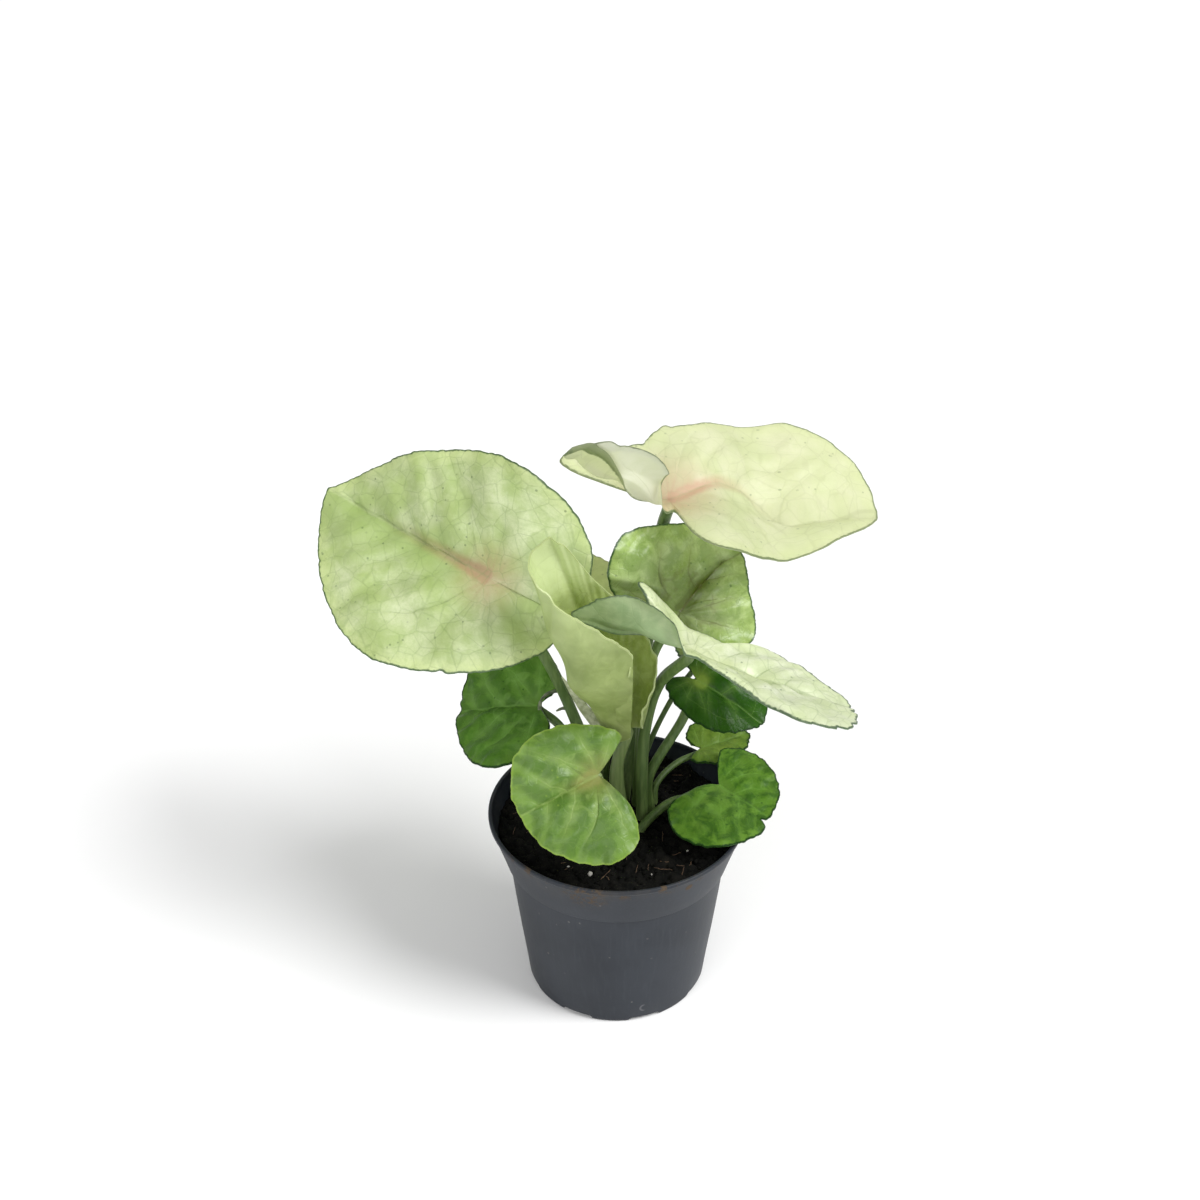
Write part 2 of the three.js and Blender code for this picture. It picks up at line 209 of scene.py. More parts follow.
POT_PROFILE = rounded([
    (4.0, 0, 0),
    (BASE_RADIUS - 2.1, 0, 0.2),
    (BASE_RADIUS - 1.0, 0, 0),
    (BASE_RADIUS + 0.05, 0.2, 1.4),
    (BASE_RADIUS + 1.0, 8, 0),
    (BASE_RADIUS + 2.6, 20, 0),
    (BASE_RADIUS + 4.2, 33, 0),
    (BASE_RADIUS + 5.4, COLLAR_FOOT, 0.5),
    (BASE_RADIUS + 6.35, COLLAR_FOOT + 0.1, 0.5),
    (BASE_RADIUS + 7.6, COLLAR_FOOT + 4.2, 0),
    (BASE_RADIUS + 9.4, COLLAR_FOOT + 9.8, 0),
    (RIM_RADIUS - 0.55, POT_HEIGHT - 1.5, 0.3),
    (RIM_RADIUS, POT_HEIGHT - 1.2, 0.4),
    (RIM_RADIUS, POT_HEIGHT, 0.6),
    (RIM_RADIUS - 1.1, POT_HEIGHT, 0.5),
    (RIM_RADIUS - 1.25, POT_HEIGHT - 1.4, 0.6),
    (BASE_RADIUS + 5.6, COLLAR_FOOT + 0.8, 0.5),
    (BASE_RADIUS + 5.4 - WALL, COLLAR_FOOT - 0.4, 0.5),
    (BASE_RADIUS - WALL + 0.2, FLOOR, 1.0),
    (4.0, FLOOR, 0),
])
POT_SIDES = 288


def polar(radius, turn):
    return radius * math.cos(turn), radius * math.sin(turn)


def pot_points():
    points = []
    half = math.degrees(NOTCH_WIDTH / 2 / BASE_RADIUS)
    for r, z in POT_PROFILE:
        for j in range(POT_SIDES):
            turn = j / POT_SIDES * 2 * math.pi
            off = (math.degrees(turn) - FIRST_NOTCH) % (360 / NOTCHES)
            off = min(off, 360 / NOTCHES - off)
            height = z
            if z < NOTCH_HEIGHT and r > BASE_RADIUS - FOOT_RING:
                lift = min(max((half + NOTCH_SIDE / 2 - off) / NOTCH_SIDE, 0), 1)
                height = z + (NOTCH_HEIGHT - z) * lift
            points.append((*polar(r, turn), height))
    return points


# Marks on the pot as (place, reach, core) in metres: soil stuck under the lip and a crumb beside it, and the
# centre of a curved scrape near the foot with its radius in millimetres.
LIP_SOIL = ((-0.0090, -0.0358, 0.0562), 0.0085, 0.0015)
LIP_CRUMB = ((0.0200, -0.0305, 0.0548), 0.0016, 0.0008)
SCRAPE_CENTRE, SCRAPE_RADIUS = (0.0082, -0.0266, 0.0050), 1.5


def pot_plastic():
    place = object_place()
    x, y, z = place.parts()
    cloud = grain(place, 45, 4)
    streak = grain(place.vector("MULTIPLY", (900, 900, 25)), 1, 3)
    speck = Wire.node(
        "ShaderNodeTexVoronoi", {"feature": "F1"}, {"Vector": place, "Scale": 330, "Randomness": 1}
    )
    dust = speck.fade(0.16, 0.09) * grain(place, 130, 2).fade(0.56, 0.66)
    near_rim = z.fade(0.0545, 0.0578) * grain(place, 210, 5, 0.7).fade(0.52, 0.62)
    front = y.fade(-0.012, -0.033)
    shreds = grain(place, 700, 5, 0.7).fade(0.50, 0.60)

    def close_to(spot, reach, core):
        return place.vector("DISTANCE", spot, output=1).fade(reach, core)

    stuck = close_to(*LIP_SOIL) * shreds + close_to(*LIP_CRUMB)
    soiled = (near_rim * front + stuck).math("MINIMUM", 1.0)
    scrape = place.vector("DISTANCE", SCRAPE_CENTRE, output=1)
    scuff = abs(scrape * 1000 - SCRAPE_RADIUS).fade(0.35, 0.1) * x.fade(0.0084, 0.0074)
    wiped = z.fade(0.048, 0.0575) * grain(place, 70, 4, 0.65).fade(0.5, 0.75) * 0.5
    colour = cloud.fade(0.3, 0.7).paint((0.015, 0.019, 0.026), (0.025, 0.030, 0.039))
    colour = (streak.fade(0.45, 0.8) * 0.35).paint(colour, (0.044, 0.050, 0.061))
    colour = wiped.paint(colour, (0.052, 0.046, 0.040))
    colour = (dust * 0.5).paint(colour, (0.17, 0.16, 0.15))
    colour = (scuff * 0.5).paint(colour, (0.16, 0.16, 0.17))
    colour = soiled.paint(colour, (0.080, 0.054, 0.032))
    rough = 0.36 + 0.16 * cloud + 0.3 * soiled + 0.12 * streak
    relief = bump(streak * 0.4 + grain(place, 900, 2) * 0.6 + soiled * 2.0, 0.25, 0.12)
    return {"Base Color": colour, "Roughness": rough, "Normal": relief, "Specular IOR Level": 0.3}


black_plastic = finish("slate_plastic", pot_plastic)
pot = body("nursery_pot", pot_points(), ring_faces(len(POT_PROFILE), POT_SIDES), black_plastic, sharp=50)


def drill(piece, places, radius, low, high):
    """Cuts upright round holes through a piece."""
    cutter_mesh = bpy.data.meshes.new("drill")
    shape = bmesh.new()
    for x, y in places:
        made = bmesh.ops.create_cone(
            shape, cap_ends=True, segments=40, radius1=radius * MM, radius2=radius * MM,
            depth=(high - low) * MM,
        )
        bmesh.ops.translate(shape, verts=made["verts"], vec=(x * MM, y * MM, (high + low) / 2 * MM))
    shape.to_mesh(cutter_mesh)
    shape.free()
    cutter = bpy.data.objects.new("drill", cutter_mesh)
    bpy.context.scene.collection.objects.link(cutter)
    cut = piece.modifiers.new("holes", "BOOLEAN")
    cut.operation, cut.solver, cut.object = "DIFFERENCE", "EXACT", cutter
    graph = bpy.context.evaluated_depsgraph_get()
    drilled = bpy.data.meshes.new_from_object(piece.evaluated_get(graph))
    piece.modifiers.clear()
    old, piece.data = piece.data, drilled
    bpy.data.meshes.remove(old)
    bpy.data.objects.remove(cutter)
    bpy.data.meshes.remove(cutter_mesh)


drains = [polar(DRAIN_CIRCLE, i / DRAIN_HOLES * 2 * math.pi) for i in range(DRAIN_HOLES)]
drill(pot, drains, DRAIN_RADIUS, -1, FLOOR + 1)
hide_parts("pot")

# Soil: dark peat packed into the pot by hand to a few millimetres under the rim. Its surface is loose
# crumbs, with short bark fibres and a few white perlite grains lying in it.

SOIL_LEVEL, SOIL_RADIUS, SOIL_RINGS, SOIL_SIDES = 53.0, 34.5, 84, 420
PLUG_RINGS = ((33.6, 50.0), (31.2, 44.4), (30.0, 43.0), (25.2, 2.4), (0.6, 2.4))
PACKED_CRUMBS, LOOSE_CRUMBS, FIBRES, CRUMB_TOP = 3600, 620, 46, 2.4
PERLITE = [
    (-7.8, -23.6, 0.8), (-14.0, -20.5, 0.35), (9.5, -24.0, 0.3), (20.0, -13.5, 0.4), (-21.0, -3.0, 0.35),
]
luck = np.random.default_rng(11)


def scattered(radius, least=0.0):
    """A random (x, y) on a disc, even over its area but for the share least in the middle."""
    turn = luck.uniform(0, 2 * math.pi)
    return polar(radius * math.sqrt(luck.uniform(least, 1)), turn)


def soil_surface():
    radii = SOIL_RADIUS * np.sqrt(np.linspace(0.0004, 1, SOIL_RINGS))
    turns = np.linspace(0, 2 * math.pi, SOIL_SIDES, endpoint=False)
    r, t = np.meshgrid(radii, turns, indexing="ij")
    x, y = (r * np.cos(t)).ravel(), (r * np.sin(t)).ravel()
    z = np.array([
        SOIL_LEVEL
        + 0.9 * noise.noise(Vector((px * 0.09, py * 0.09, 3)))
        + 0.5 * noise.noise(Vector((px * 0.3, py * 0.3, 7)))
        for px, py in zip(x, y)
    ])
    tree = kdtree.KDTree(len(x))
    for i, (px, py) in enumerate(zip(x, y)):
        tree.insert((px, py, 0), i)
    tree.balance()
    lift = np.zeros(len(x))
    for _ in range(PACKED_CRUMBS):
        spot = scattered(SOIL_RADIUS)
        size = luck.choice([0.45, 0.7, 1.0, 1.5], p=[0.4, 0.35, 0.18, 0.07]) * luck.uniform(0.8, 1.3)
        base = luck.uniform(-0.3, 0.35) * size
        for _, i, gap in tree.find_range((*spot, 0), size):
            lift[i] = max(lift[i], base + math.sqrt(max(size * size - gap * gap, 0)) * 0.8)
    z += lift
    return x, y, np.minimum(z, SOIL_LEVEL + CRUMB_TOP)


def soil_plug():
    points = np.column_stack(soil_surface()).tolist()
    turns = np.linspace(0, 2 * math.pi, SOIL_SIDES, endpoint=False)
    for radius, height in PLUG_RINGS:
        points += [(*polar(radius, turn), height) for turn in turns]
    return points, [face[::-1] for face in ring_faces(SOIL_RINGS + len(PLUG_RINGS), SOIL_SIDES)]


def peat():
    place = object_place()
    clump = grain(place, 420, 5, 0.7)
    patch = grain(place, 90, 3)
    colour = clump.fade(0.35, 0.75).paint((0.0022, 0.0024, 0.0021), (0.0095, 0.0088, 0.0070))
    colour = (patch.fade(0.55, 0.75) * 0.4).paint(colour, (0.018, 0.0145, 0.0105))
    rough = 0.85 + 0.12 * clump
    relief = bump(clump + grain(place, 1600, 3), 0.7, 0.25)
    return {"Base Color": colour, "Roughness": rough, "Normal": relief, "Specular IOR Level": 0.12}


peat_dark = finish("peat", peat)
plug_points, plug_faces = soil_plug()
soil = body("peat_plug", plug_points, plug_faces, peat_dark)
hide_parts("soil")


def joined(made):
    """One list of points and one of faces from several pairs of them."""
    points, faces = [], []
    for some_points, some_faces in made:
        start = len(points)
        points += [tuple(point) for point in some_points]
        faces += [tuple(start + i for i in face) for face in some_faces]
    return points, faces


def lumps(places, seed):
    """Small uneven stones or crumbs. places holds (x, y, z, radius)."""
    made = []
    shape = bmesh.new()
    bmesh.ops.create_icosphere(shape, subdivisions=2, radius=1)
    ball = np.array([v.co[:] for v in shape.verts])
    tris = [[v.index for v in f.verts] for f in shape.faces]
    shape.free()
    dice = np.random.default_rng(seed)
    for x, y, z, radius in places:
        shift = dice.uniform(0, 50)
        bumps = np.array([1 + 0.45 * noise.noise(Vector(p * 1.6 + shift)) for p in ball])
        squash = dice.uniform(0.55, 1.15, 3)
        turn = dice.uniform(0, math.pi)
        spun = ball * bumps[:, None] * squash * radius
        c, s = math.cos(turn), math.sin(turn)
        spun = spun @ np.array([[c, s, 0], [-s, c, 0], [0, 0, 1]])
        made.append((spun + (x, y, z), tris))
    return joined(made)


crumb_places = []
for _ in range(LOOSE_CRUMBS):
    spot = scattered(SOIL_RADIUS - 1.2)
    height = SOIL_LEVEL + luck.uniform(0.2, 1.1)
    size = luck.choice([0.35, 0.5, 0.8, 1.15], p=[0.4, 0.35, 0.2, 0.05])
    crumb_places.append((*spot, height, size))
crumbs = body("peat_crumbs", *lumps(crumb_places, 5), peat_dark)


def perlite():
    place = object_place()
    pores = grain(place, 1500, 4, 0.7)
    colour = pores.fade(0.3, 0.7).paint((0.32, 0.30, 0.26), (0.72, 0.70, 0.65))
    return {"Base Color": colour, "Roughness": 0.9, "Normal": bump(pores, 0.6, 0.2)}


grains = body(
    "perlite_grains",
    *lumps([(x, y, SOIL_LEVEL + 1.25, size) for x, y, size in PERLITE], 9),
    finish("perlite", perlite),
)


def swept(path, radii, sides, squash=1.0):
    """A closed tube round a path of points, with one radius for each of them."""
    path = np.asarray(path, float)
    ways = np.gradient(path, axis=0)
    ways /= np.linalg.norm(ways, axis=1)[:, None]
    across = np.cross(ways[0], (0.3, 0.9, 0.2))
    across /= np.linalg.norm(across)
    points = []
    for place, way, radius in zip(path, ways, radii):
        across = across - way * (across @ way)
        across /= np.linalg.norm(across)
        upright = np.cross(way, across)
        for j in range(sides):
            turn = j / sides * 2 * math.pi
            points.append(place + radius * (across * math.cos(turn) + upright * math.sin(turn) * squash))
    return points, ring_faces(len(path), sides)


def fibre_mat():
    made = []
    for _ in range(FIBRES):
        middle = np.array((*scattered(SOIL_RADIUS - 2.5, 0.05), SOIL_LEVEL + 1.2))
        way, length = luck.uniform(0, math.pi), luck.uniform(1.5, 5.5)
        run = np.linspace(-0.5, 0.5, 7)[:, None] * length
        path = middle + run * (math.cos(way), math.sin(way), luck.uniform(-0.1, 0.1))
        path += luck.normal(0, 0.09, path.shape)
        made.append(swept(path, 0.12 * np.array([0.5, 1, 1, 1, 1, 1, 0.5]), 6))
    return joined(made)


def bark():
    fleck = grain(object_place(), 700, 3).fade(0.3, 0.7)
    return {"Base Color": fleck.paint((0.030, 0.017, 0.010), (0.11, 0.062, 0.032)), "Roughness": 0.8}


fibres = body("bark_fibres", *fibre_mat(), finish("bark_fibre", bark))

# Leaves and petioles: living aroid leaves, each a thin waxy blade on a round, fleshy stalk. The stalks
# leave the crown in a tuft, the youngest from a wide pale sheath, and carry the blades by the sinus.

BLADE_THICKNESS = 0.44
SHEET_SCALE = 100  # millimetres of the flat sheet to one unit of its UV map


def keel(angle, radius=6):
    """Folds both halves of a blade up from its midrib."""
    return [(0, 0, 90, radius, angle), (0, 0, -90, radius, angle)]


# A leaf, in mm and degrees: at, where petiole and blade meet; pose, its heading, slope and roll; folds of
# the flat sheet as (u, v, heading, radius, angle, fade, flare); tip, left and right, its outline; wave, the
# number and height of its waves; look, its finish; foot, via and radii of its petiole; size, points round
# the margin and rows of the mesh. As shares of its length: quilt, the rise between side veins; roll, broad
# swellings; dome, the rise of each half; pitch, from one side vein to the next. In mm: rag, how uneven the
# margin is; ruffle, its frill; tuck, how far one back lobe slides under the other; bend, the midrib's path;
# crumple, crinkled places as (u, v, reach, height); turned, margins bent under as (u, v, heading, half
# width, span, depth). nicks are (place, half width, depth), the first two as shares of the margin, and stand
# out where the depth is negative. fan is the angle between the back lobes' veins.
LEAVES = {
    "left_large": dict(
        at=(-35.2, 8, 132.6), pose=(149, 13, 49),
        folds=[*keel(14), (0, 0, 0, 60, -10), (0, 0, 180, 30, -22)],
        tip=(61, 0),
        left=[
            (58, 8), (51, 18), (41, 27), (28, 34), (14, 36), (2, 32), (-10, 25), (-20, 15), (-24.5, 7),
            (-24, 1.4), (-16, 0.65), (-9, 0.24), (-4, 0.04),
        ],
        right=[
            (50, -11), (38, -21), (24, -28), (10, -32), (-3, -31), (-14, -26), (-22, -19), (-25.5, -9),
            (-24.5, -1.45), (-16, -0.65), (-9, -0.24), (-4, -0.04),
        ],
        wave=(7, 0.8), look="cream", foot=(-5.4, 6.2),
        via=[(-5.8, 6.4, 65), (-11.6, 7.5, 83.7), (-19.7, 9, 104.2)], radii=(2, 1.6), size=(360, 56),
        tuck=3.2, nicks=[(0.21, 0.007, 0.9)], quilt=0.013, roll=0.014, rag=0.32,
    ),
    "top_right": dict(
        at=(14, 22, 149.3), pose=(10, 2, -10),
        folds=[
            (8, 0, 0, 14, -38), (26, 0, 0, 14, 30), (0, 0, 90, 8, 16), (0, 0, -90, 8, 6),
            (-1, -1, -92, 2.5, 88, (0, -6)), (-3, 0, 180, 8, 20), (-3, 0, 180, 8, 35, (0, 3)),
        ],
        tip=(59, 0.5),
        left=[
            (59, 7), (56, 16), (48, 25), (36, 30), (22, 28.5), (11, 25.5), (2, 24), (-4, 20), (-14, 17),
            (-25, 14), (-31, 10), (-26, 5), (-14, 2.2), (-4, 0.5),
        ],
        right=[
            (54, -5), (44, -10.8), (33, -17.4), (20, -24), (9, -25.5), (3.5, -19), (1.5, -10), (0, -5.5),
            (-5, -8.5), (-14, -13), (-26, -14), (-36, -9), (-31, -4.8), (-18, -2), (-6, -0.3),
        ],
        wave=(6, 0.6), look="cream_pink", foot=(1.8, 11),
        via=[(6.2, 19, 77.4), (9.9, 27, 113.5), (12.4, 28, 136.5)], radii=(2, 1.7), size=(380, 56),
        nicks=[(0.238, 0.008, -1.3), (0.86, 0.006, 0.9), (0.883, 0.005, 1.1), (0.9, 0.005, 0.8)],
        crumple=[(-37, -9, 6, 1.0), (-31, 10, 6, 0.8)],
        bend=[
            (0, 0), (8, 3), (16.4, 5.9), (24.7, 5.6), (29.8, 2.4), (33.8, -1.8), (40.8, -1.4), (53.1, 0.5),
            (60, 0.5),
        ],
        quilt=0.005, roll=0.006,
    ),
    "rolled": dict(
        at=(2.3, 1.5, 86.3), pose=(196, 72.2, 104),
        folds=[(0, 1.5, 87.2, 3, 178.5, None, (0.166, -30)), (0, -1, -107, 2.5, 131.5, None, (0.2, 30))],
        tip=(70.3, 0),
        left=[
            (65.3, 14.5), (56.3, 22), (46.2, 32.2), (36.2, 36.8), (26.1, 35), (17.1, 30), (9, 24),
            (3, 16.5), (0.5, 6), (0, 2),
        ],
        right=[
            (65.3, -3.1), (56.3, -6.1), (46.2, -9.9), (36.2, -13.9), (26.1, -16.5), (17.1, -18.3),
            (9, -17.5), (3, -11), (0.5, -5), (0, -1.5),
        ],
        wave=(5, 0.4), look="young", foot=(0.5, 3),
        via=[(-0.1, 1.5, 73.5)], radii=(4.2, 1.8), size=(360, 64),
        roll=0.02, quilt=0.0, dome=0, rag=0.25, ruffle=0.7,
    ),
    "front_right": dict(
        at=(19.8, -10, 120.9), pose=(-14, -19, 12),
        folds=[
            (20, 0, 0, 40, 8), (0, 0, 90, 8, 8), (4, -4, -117, 5, -75, (-2, 6)),
            (-1, -1, -88, 3, 95, (0, -6)), (-2, 0, 180, 8, -10, (0, 3)), (-2, 0, 180, 8, 28, (0, -3)),
        ],
        tip=(47.5, -7),
        left=[
            (47, -1), (43.5, 4.5), (35, 9), (27, 14), (20, 17), (14.5, 14.5), (10, 10.5), (6, 9.5),
            (1, 9.5), (-5, 9), (-13, 10), (-20, 9), (-23, 5), (-16, 2), (-5, 0.3),
        ],
        right=[
            (47.5, -12), (42.5, -17.5), (33, -17.5), (23, -13), (13, -9), (7, -7.3), (2, -5), (-4, -9),
            (-12, -14), (-22, -15), (-33, -8), (-31, -4.6), (-18, -1.9), (-5, -0.15),
        ],
        wave=(6, 0.6), look="cream_plain", foot=(7.2, 1.8),
        via=[(7.6, 3.8, 83.2), (11.4, 0.2, 102.4)], radii=(2, 1.6), size=(380, 56),
        nicks=[
            (0.46, 0.006, 1.3), (0.478, 0.005, 1.5), (0.52, 0.006, 1.4), (0.545, 0.005, 1.2),
            (0.57, 0.005, 0.9),
        ],
        ruffle=0.3, rag=0.4, quilt=0.014,
    ),
    "middle_back": dict(
        at=(17.3, 11, 119.6), pose=(60, 50, -35),
        folds=keel(12),
        tip=(25, -3),
        left=[
            (24, 6), (22, 12), (18.5, 19), (14, 24.3), (8, 25.5), (2, 24), (-2, 18), (-5, 10), (-6, 4),
            (-5, 0.9), (-2.5, 0.2),
        ],
        right=[
            (24, -8), (20, -12.5), (13, -16), (6, -20), (1.5, -22), (-3.2, -20.5), (-7, -14), (-7.5, -6),
            (-5.5, -0.9), (-2.5, -0.2),
        ],
        wave=(5, 0.8), look="mid", foot=(5.8, 8.2),
        via=[(7, 8, 83), (9.9, 8, 107.2)], radii=(1.8, 1.4), size=(300, 44),
        roll=0.02, quilt=0.03, dome=0.05,
        bend=[(0, 0), (9.4, -3.2), (17.1, -6.9), (20.3, -10), (25, -13)],
        pitch=0.35, fan=40, turned=[(3.6, 15.5, 188, 11, 3.0, 3.4)],
    ),
    "back_left": dict(
        at=(-5, 29, 111.4), pose=(112, 14, -6),
        folds=[*keel(10), (0, 0, 0, 60, -15)],
        tip=(26, 0),
        left=[(22, 8), (14, 14), (4, 16), (-6, 13), (-10, 8), (-7, 3), (-3, 0.8)],
        right=[(22, -6.5), (14, -10.5), (4, -11.5), (-6, -9.5), (-10, -6.5), (-7, -2.5), (-3, -0.8)],
        wave=(4, 0.5), look="painted_light_back", foot=(-4.4, 11),
        via=[(-3.3, 15, 73), (-5.6, 22, 98)], radii=(1.5, 1.2), size=(220, 30),
        pitch=0.33,
    ),
    "left_low": dict(
        at=(-23.1, 10, 88.3), pose=(165, -9, 28),
        folds=[*keel(10), (0, 0, 0, 50, -15)],
        tip=(26, -1),
        left=[(25, 6), (19, 16), (10, 22), (2, 20), (-4, 13), (-6, 8), (-3, 3)],
        right=[(26, -8), (20.5, -16), (10.5, -19.5), (1, -18), (-4, -13), (-6, -8), (-4, -3)],
        wave=(5, 0.6), look="deep", foot=(-8.8, 1.6),
        via=[(-9.4, 1.6, 71.5), (-16.2, 6, 83.7)], radii=(1.5, 1.2), size=(280, 40),
        dome=0.04, roll=0.018, quilt=0.02, pitch=0.35, fan=40, rag=0.12,
    ),
    "front_low": dict(
        at=(-5.6, -16.5, 83.6), pose=(200, -20, 47),
        folds=keel(8),
        tip=(24.5, -1),
        left=[
            (24, 6), (22, 12), (17, 18), (12, 22), (6, 24), (0, 22.5), (-3, 18.5), (-4, 12.5), (-3.2, 8),
            (-1.6, 3.2),
        ],
        right=[
            (24, -6), (21, -12), (18, -15.5), (12, -18), (4, -17.5), (-3, -14.5), (-8.5, -10.5),
            (-11, -6.8), (-7, -3.7), (-2.5, -1.2),
        ],
        wave=(6, 0.5), look="light", foot=(-4.4, -4),
        via=[(-3.3, -7, 68.2)], radii=(1.5, 1.2), size=(320, 46),
        dome=0.06, roll=0.02, quilt=0.022, pitch=0.33, fan=42, rag=0.12,
    ),
    "right_low": dict(
        at=(29.6, 4, 64.4), pose=(-40, -10, -10),
        folds=keel(6),
        tip=(18.5, -2),
        left=[(18, 3), (15, 9.5), (8.5, 14), (-1, 15), (-7, 11), (-6, 7), (-3, 3)],
        right=[(20, -5), (18, -14), (14, -20), (7, -23.5), (0, -22.5), (-5, -17), (-5, -8), (-3, -3)],
        wave=(5, 0.4), look="mottled", foot=(6, -4.2),
        via=[(15, 0, 60.9), (22.6, 3, 60.9)], radii=(1.5, 1.2), size=(280, 40),
        nicks=[(0.503, 0.01, 1.9)], roll=0.016, pitch=0.33, fan=42, rag=0.12,
    ),
    "right_middle": dict(
        at=(22.7, 12, 95.9), pose=(-25, -20, -22),
        folds=[*keel(8, 8), (6, 0, 0, 40, -15)],
        tip=(23, 0),
        left=[(21, 6), (16, 11), (8, 14.5), (0, 13), (-6, 9), (-7, 4.5), (-4, 1.8)],
        right=[(19.6, -5.5), (14.2, -10.5), (6, -13), (-2, -11), (-6.4, -7.2), (-6.6, -3.8), (-4, -1.6)],
        wave=(4, 0.5), look="dark", foot=(9.8, 5.4),
        via=[(9, 6, 65.1), (19.2, 10, 84.7)], radii=(1.7, 1.4), size=(260, 36),
        dome=0.04, quilt=0.004, pitch=0.4, rag=0.1,
    ),
    "right_back": dict(
        at=(25.2, 22, 64.4), pose=(20, 5, -10),
        folds=keel(10),
        tip=(16, 0),
        left=[(13, 5), (8, 9), (3, 9.5), (-1, 8), (-3, 5), (-2.5, 2)],
        right=[(13, -5), (8, -9), (3, -9), (-2, -7), (-5, -4), (-3.5, -1.5)],
        wave=(0, 0), look="lime", foot=(11, 9.8),
        via=[(11.5, 12, 58.3), (17.3, 18, 61.5)], radii=(1.2, 0.9), size=(200, 26),
        pitch=0.4,
    ),
    "back_small": dict(
        at=(24.4, 24, 96), pose=(100, 5, 0),
        folds=keel(10),
        tip=(13, 0),
        left=[(10.5, 4), (6, 7), (0, 7), (-5, 5.5), (-6, 2.5), (-3, 0.8)],
        right=[(10.5, -4), (6, -7), (0, -7), (-5, -5.5), (-6, -2.5), (-3, -0.8)],
        wave=(0, 0), look="mid", foot=(8.6, 13.2),
        via=[(7.6, 13.2, 65.2), (15.8, 21, 82.6)], radii=(0.9, 0.8), size=(200, 26),
        pitch=0.4,
    ),
}


def fold_sheet(points, u, v, heading, radius, angle, fade=None, flare=None):
    """Bends the sheet up, or down where angle is negative, past the line through (u, v)."""
    c, s = polar(1, math.radians(heading))
    across = (points[:, 0] - u) * c + (points[:, 1] - v) * s
    along = (points[:, 1] - v) * c - (points[:, 0] - u) * s
    turn = np.full(len(points), math.radians(abs(angle)))
    if fade:
        t = np.clip((along - fade[0]) / (fade[1] - fade[0]), 0, 1)
        turn *= t * t * (3 - 2 * t)
    r = np.full(len(points), float(radius))
    if flare:
        r += flare[0] * np.clip(along * np.sign(flare[1]), 0, abs(flare[1]))
    side = np.sign(angle)
    t = np.clip(across / r, 0, turn)
    rest = np.maximum(across - r * turn, 0)
    lifted = r - side * points[:, 2]
    reach = lifted * np.sin(t) + rest * np.cos(t)
    rise = side * (r - lifted * np.cos(t) + rest * np.sin(t))
    past = across > 0
    reach, rise = np.where(past, reach, across), np.where(past, rise, points[:, 2])
    return np.column_stack((u + reach * c - along * s, v + reach * s + along * c, rise))


def blade_frame(pose):
    heading, slope, roll = (math.radians(a) for a in pose)
    along = np.array((*polar(math.cos(slope), heading), math.sin(slope)))
    level = np.array((0, 0, 1.0)) - along * along[2]
    level /= np.linalg.norm(level)
    up = level * math.cos(roll) + np.cross(level, along) * math.sin(roll)
    return along, np.cross(up, along), up


def on_sheet(leaf, flat):
    """Flat (u, v, w) points of a leaf set in the room."""
    points = flat
    for fold in leaf["folds"]:
        points = fold_sheet(points, *fold)
    along, left, up = blade_frame(leaf["pose"])
    return np.array(leaf["at"]) + points[:, :1] * along + points[:, 1:2] * left + points[:, 2:] * up


def spline(points, count):
    """count points at even steps along a uniform Catmull-Rom curve through points."""
    points = np.array(points, float)
    last = len(points) - 1
    t = np.linspace(0, last, 600)
    i = np.minimum(t.astype(int), last - 1)
    f = (t - i)[:, None]
    p0, p1, p2, p3 = (points[np.clip(i + k, 0, last)] for k in (-1, 0, 1, 2))
    m1, m2 = (p2 - p0) / 2, (p3 - p1) / 2
    curve = (2 * p1 - 2 * p2 + m1 + m2) * f**3 + (3 * p2 - 3 * p1 - 2 * m1 - m2) * f**2 + m1 * f + p1
    run = np.concatenate(([0], np.cumsum(np.linalg.norm(np.diff(curve, axis=0), axis=1))))
    steps = np.linspace(0, run[-1], count)
    return np.column_stack([np.interp(steps, run, curve[:, k]) for k in (0, 1)])


def margin(leaf, count):
    half = count // 2 + 1
    left = spline([leaf["tip"], *leaf["left"]], half)[::-1]
    right = spline([leaf["tip"], *leaf["right"]], half)[1:]
    return np.vstack((left, right))


def waver(t, seed, tones):
    """A smooth uneven line through -1 to 1, from a few sine tones."""
    dice = np.random.default_rng(seed)
    total = np.zeros(len(t))
    for tone in tones:
        total += dice.uniform(0.5, 1) * np.sin(t * tone * 2 * math.pi + dice.uniform(0, 6.28))
    return total / len(tones)


def off_midrib(leaf, u, v):
    """Distance from the midrib, which may wander across the sheet."""
    bend = leaf.get("bend", [(0, 0), (1, 0)])
    return v - np.interp(u, [b[0] for b in bend], [b[1] for b in bend])


def side_veins(leaf, u, v):
    """Side veins as level lines: a whole number on each vein, and the distance between two of them in mm."""
    pitch = math.hypot(*leaf["tip"]) * leaf.get("pitch", 0.2)
    v = off_midrib(leaf, u, v)
    side = np.abs(v)
    lean = 0.7 * side + 0.11 * side * side / pitch
    start = u + 0.18 * pitch * np.sign(v) - lean
    start = start + 0.2 * pitch * rolling(u, v, 3, 2.2 * pitch)
    r = np.hypot(u, v) + 1e-6
    step = math.radians(leaf.get("fan", 34))
    fan = -(np.arctan2(side, u) - np.arctan2(side, lean + 1e-6)) / step
    return np.where(start >= 0, start / pitch, fan), np.where(start >= 0, pitch * 0.75, r * step)


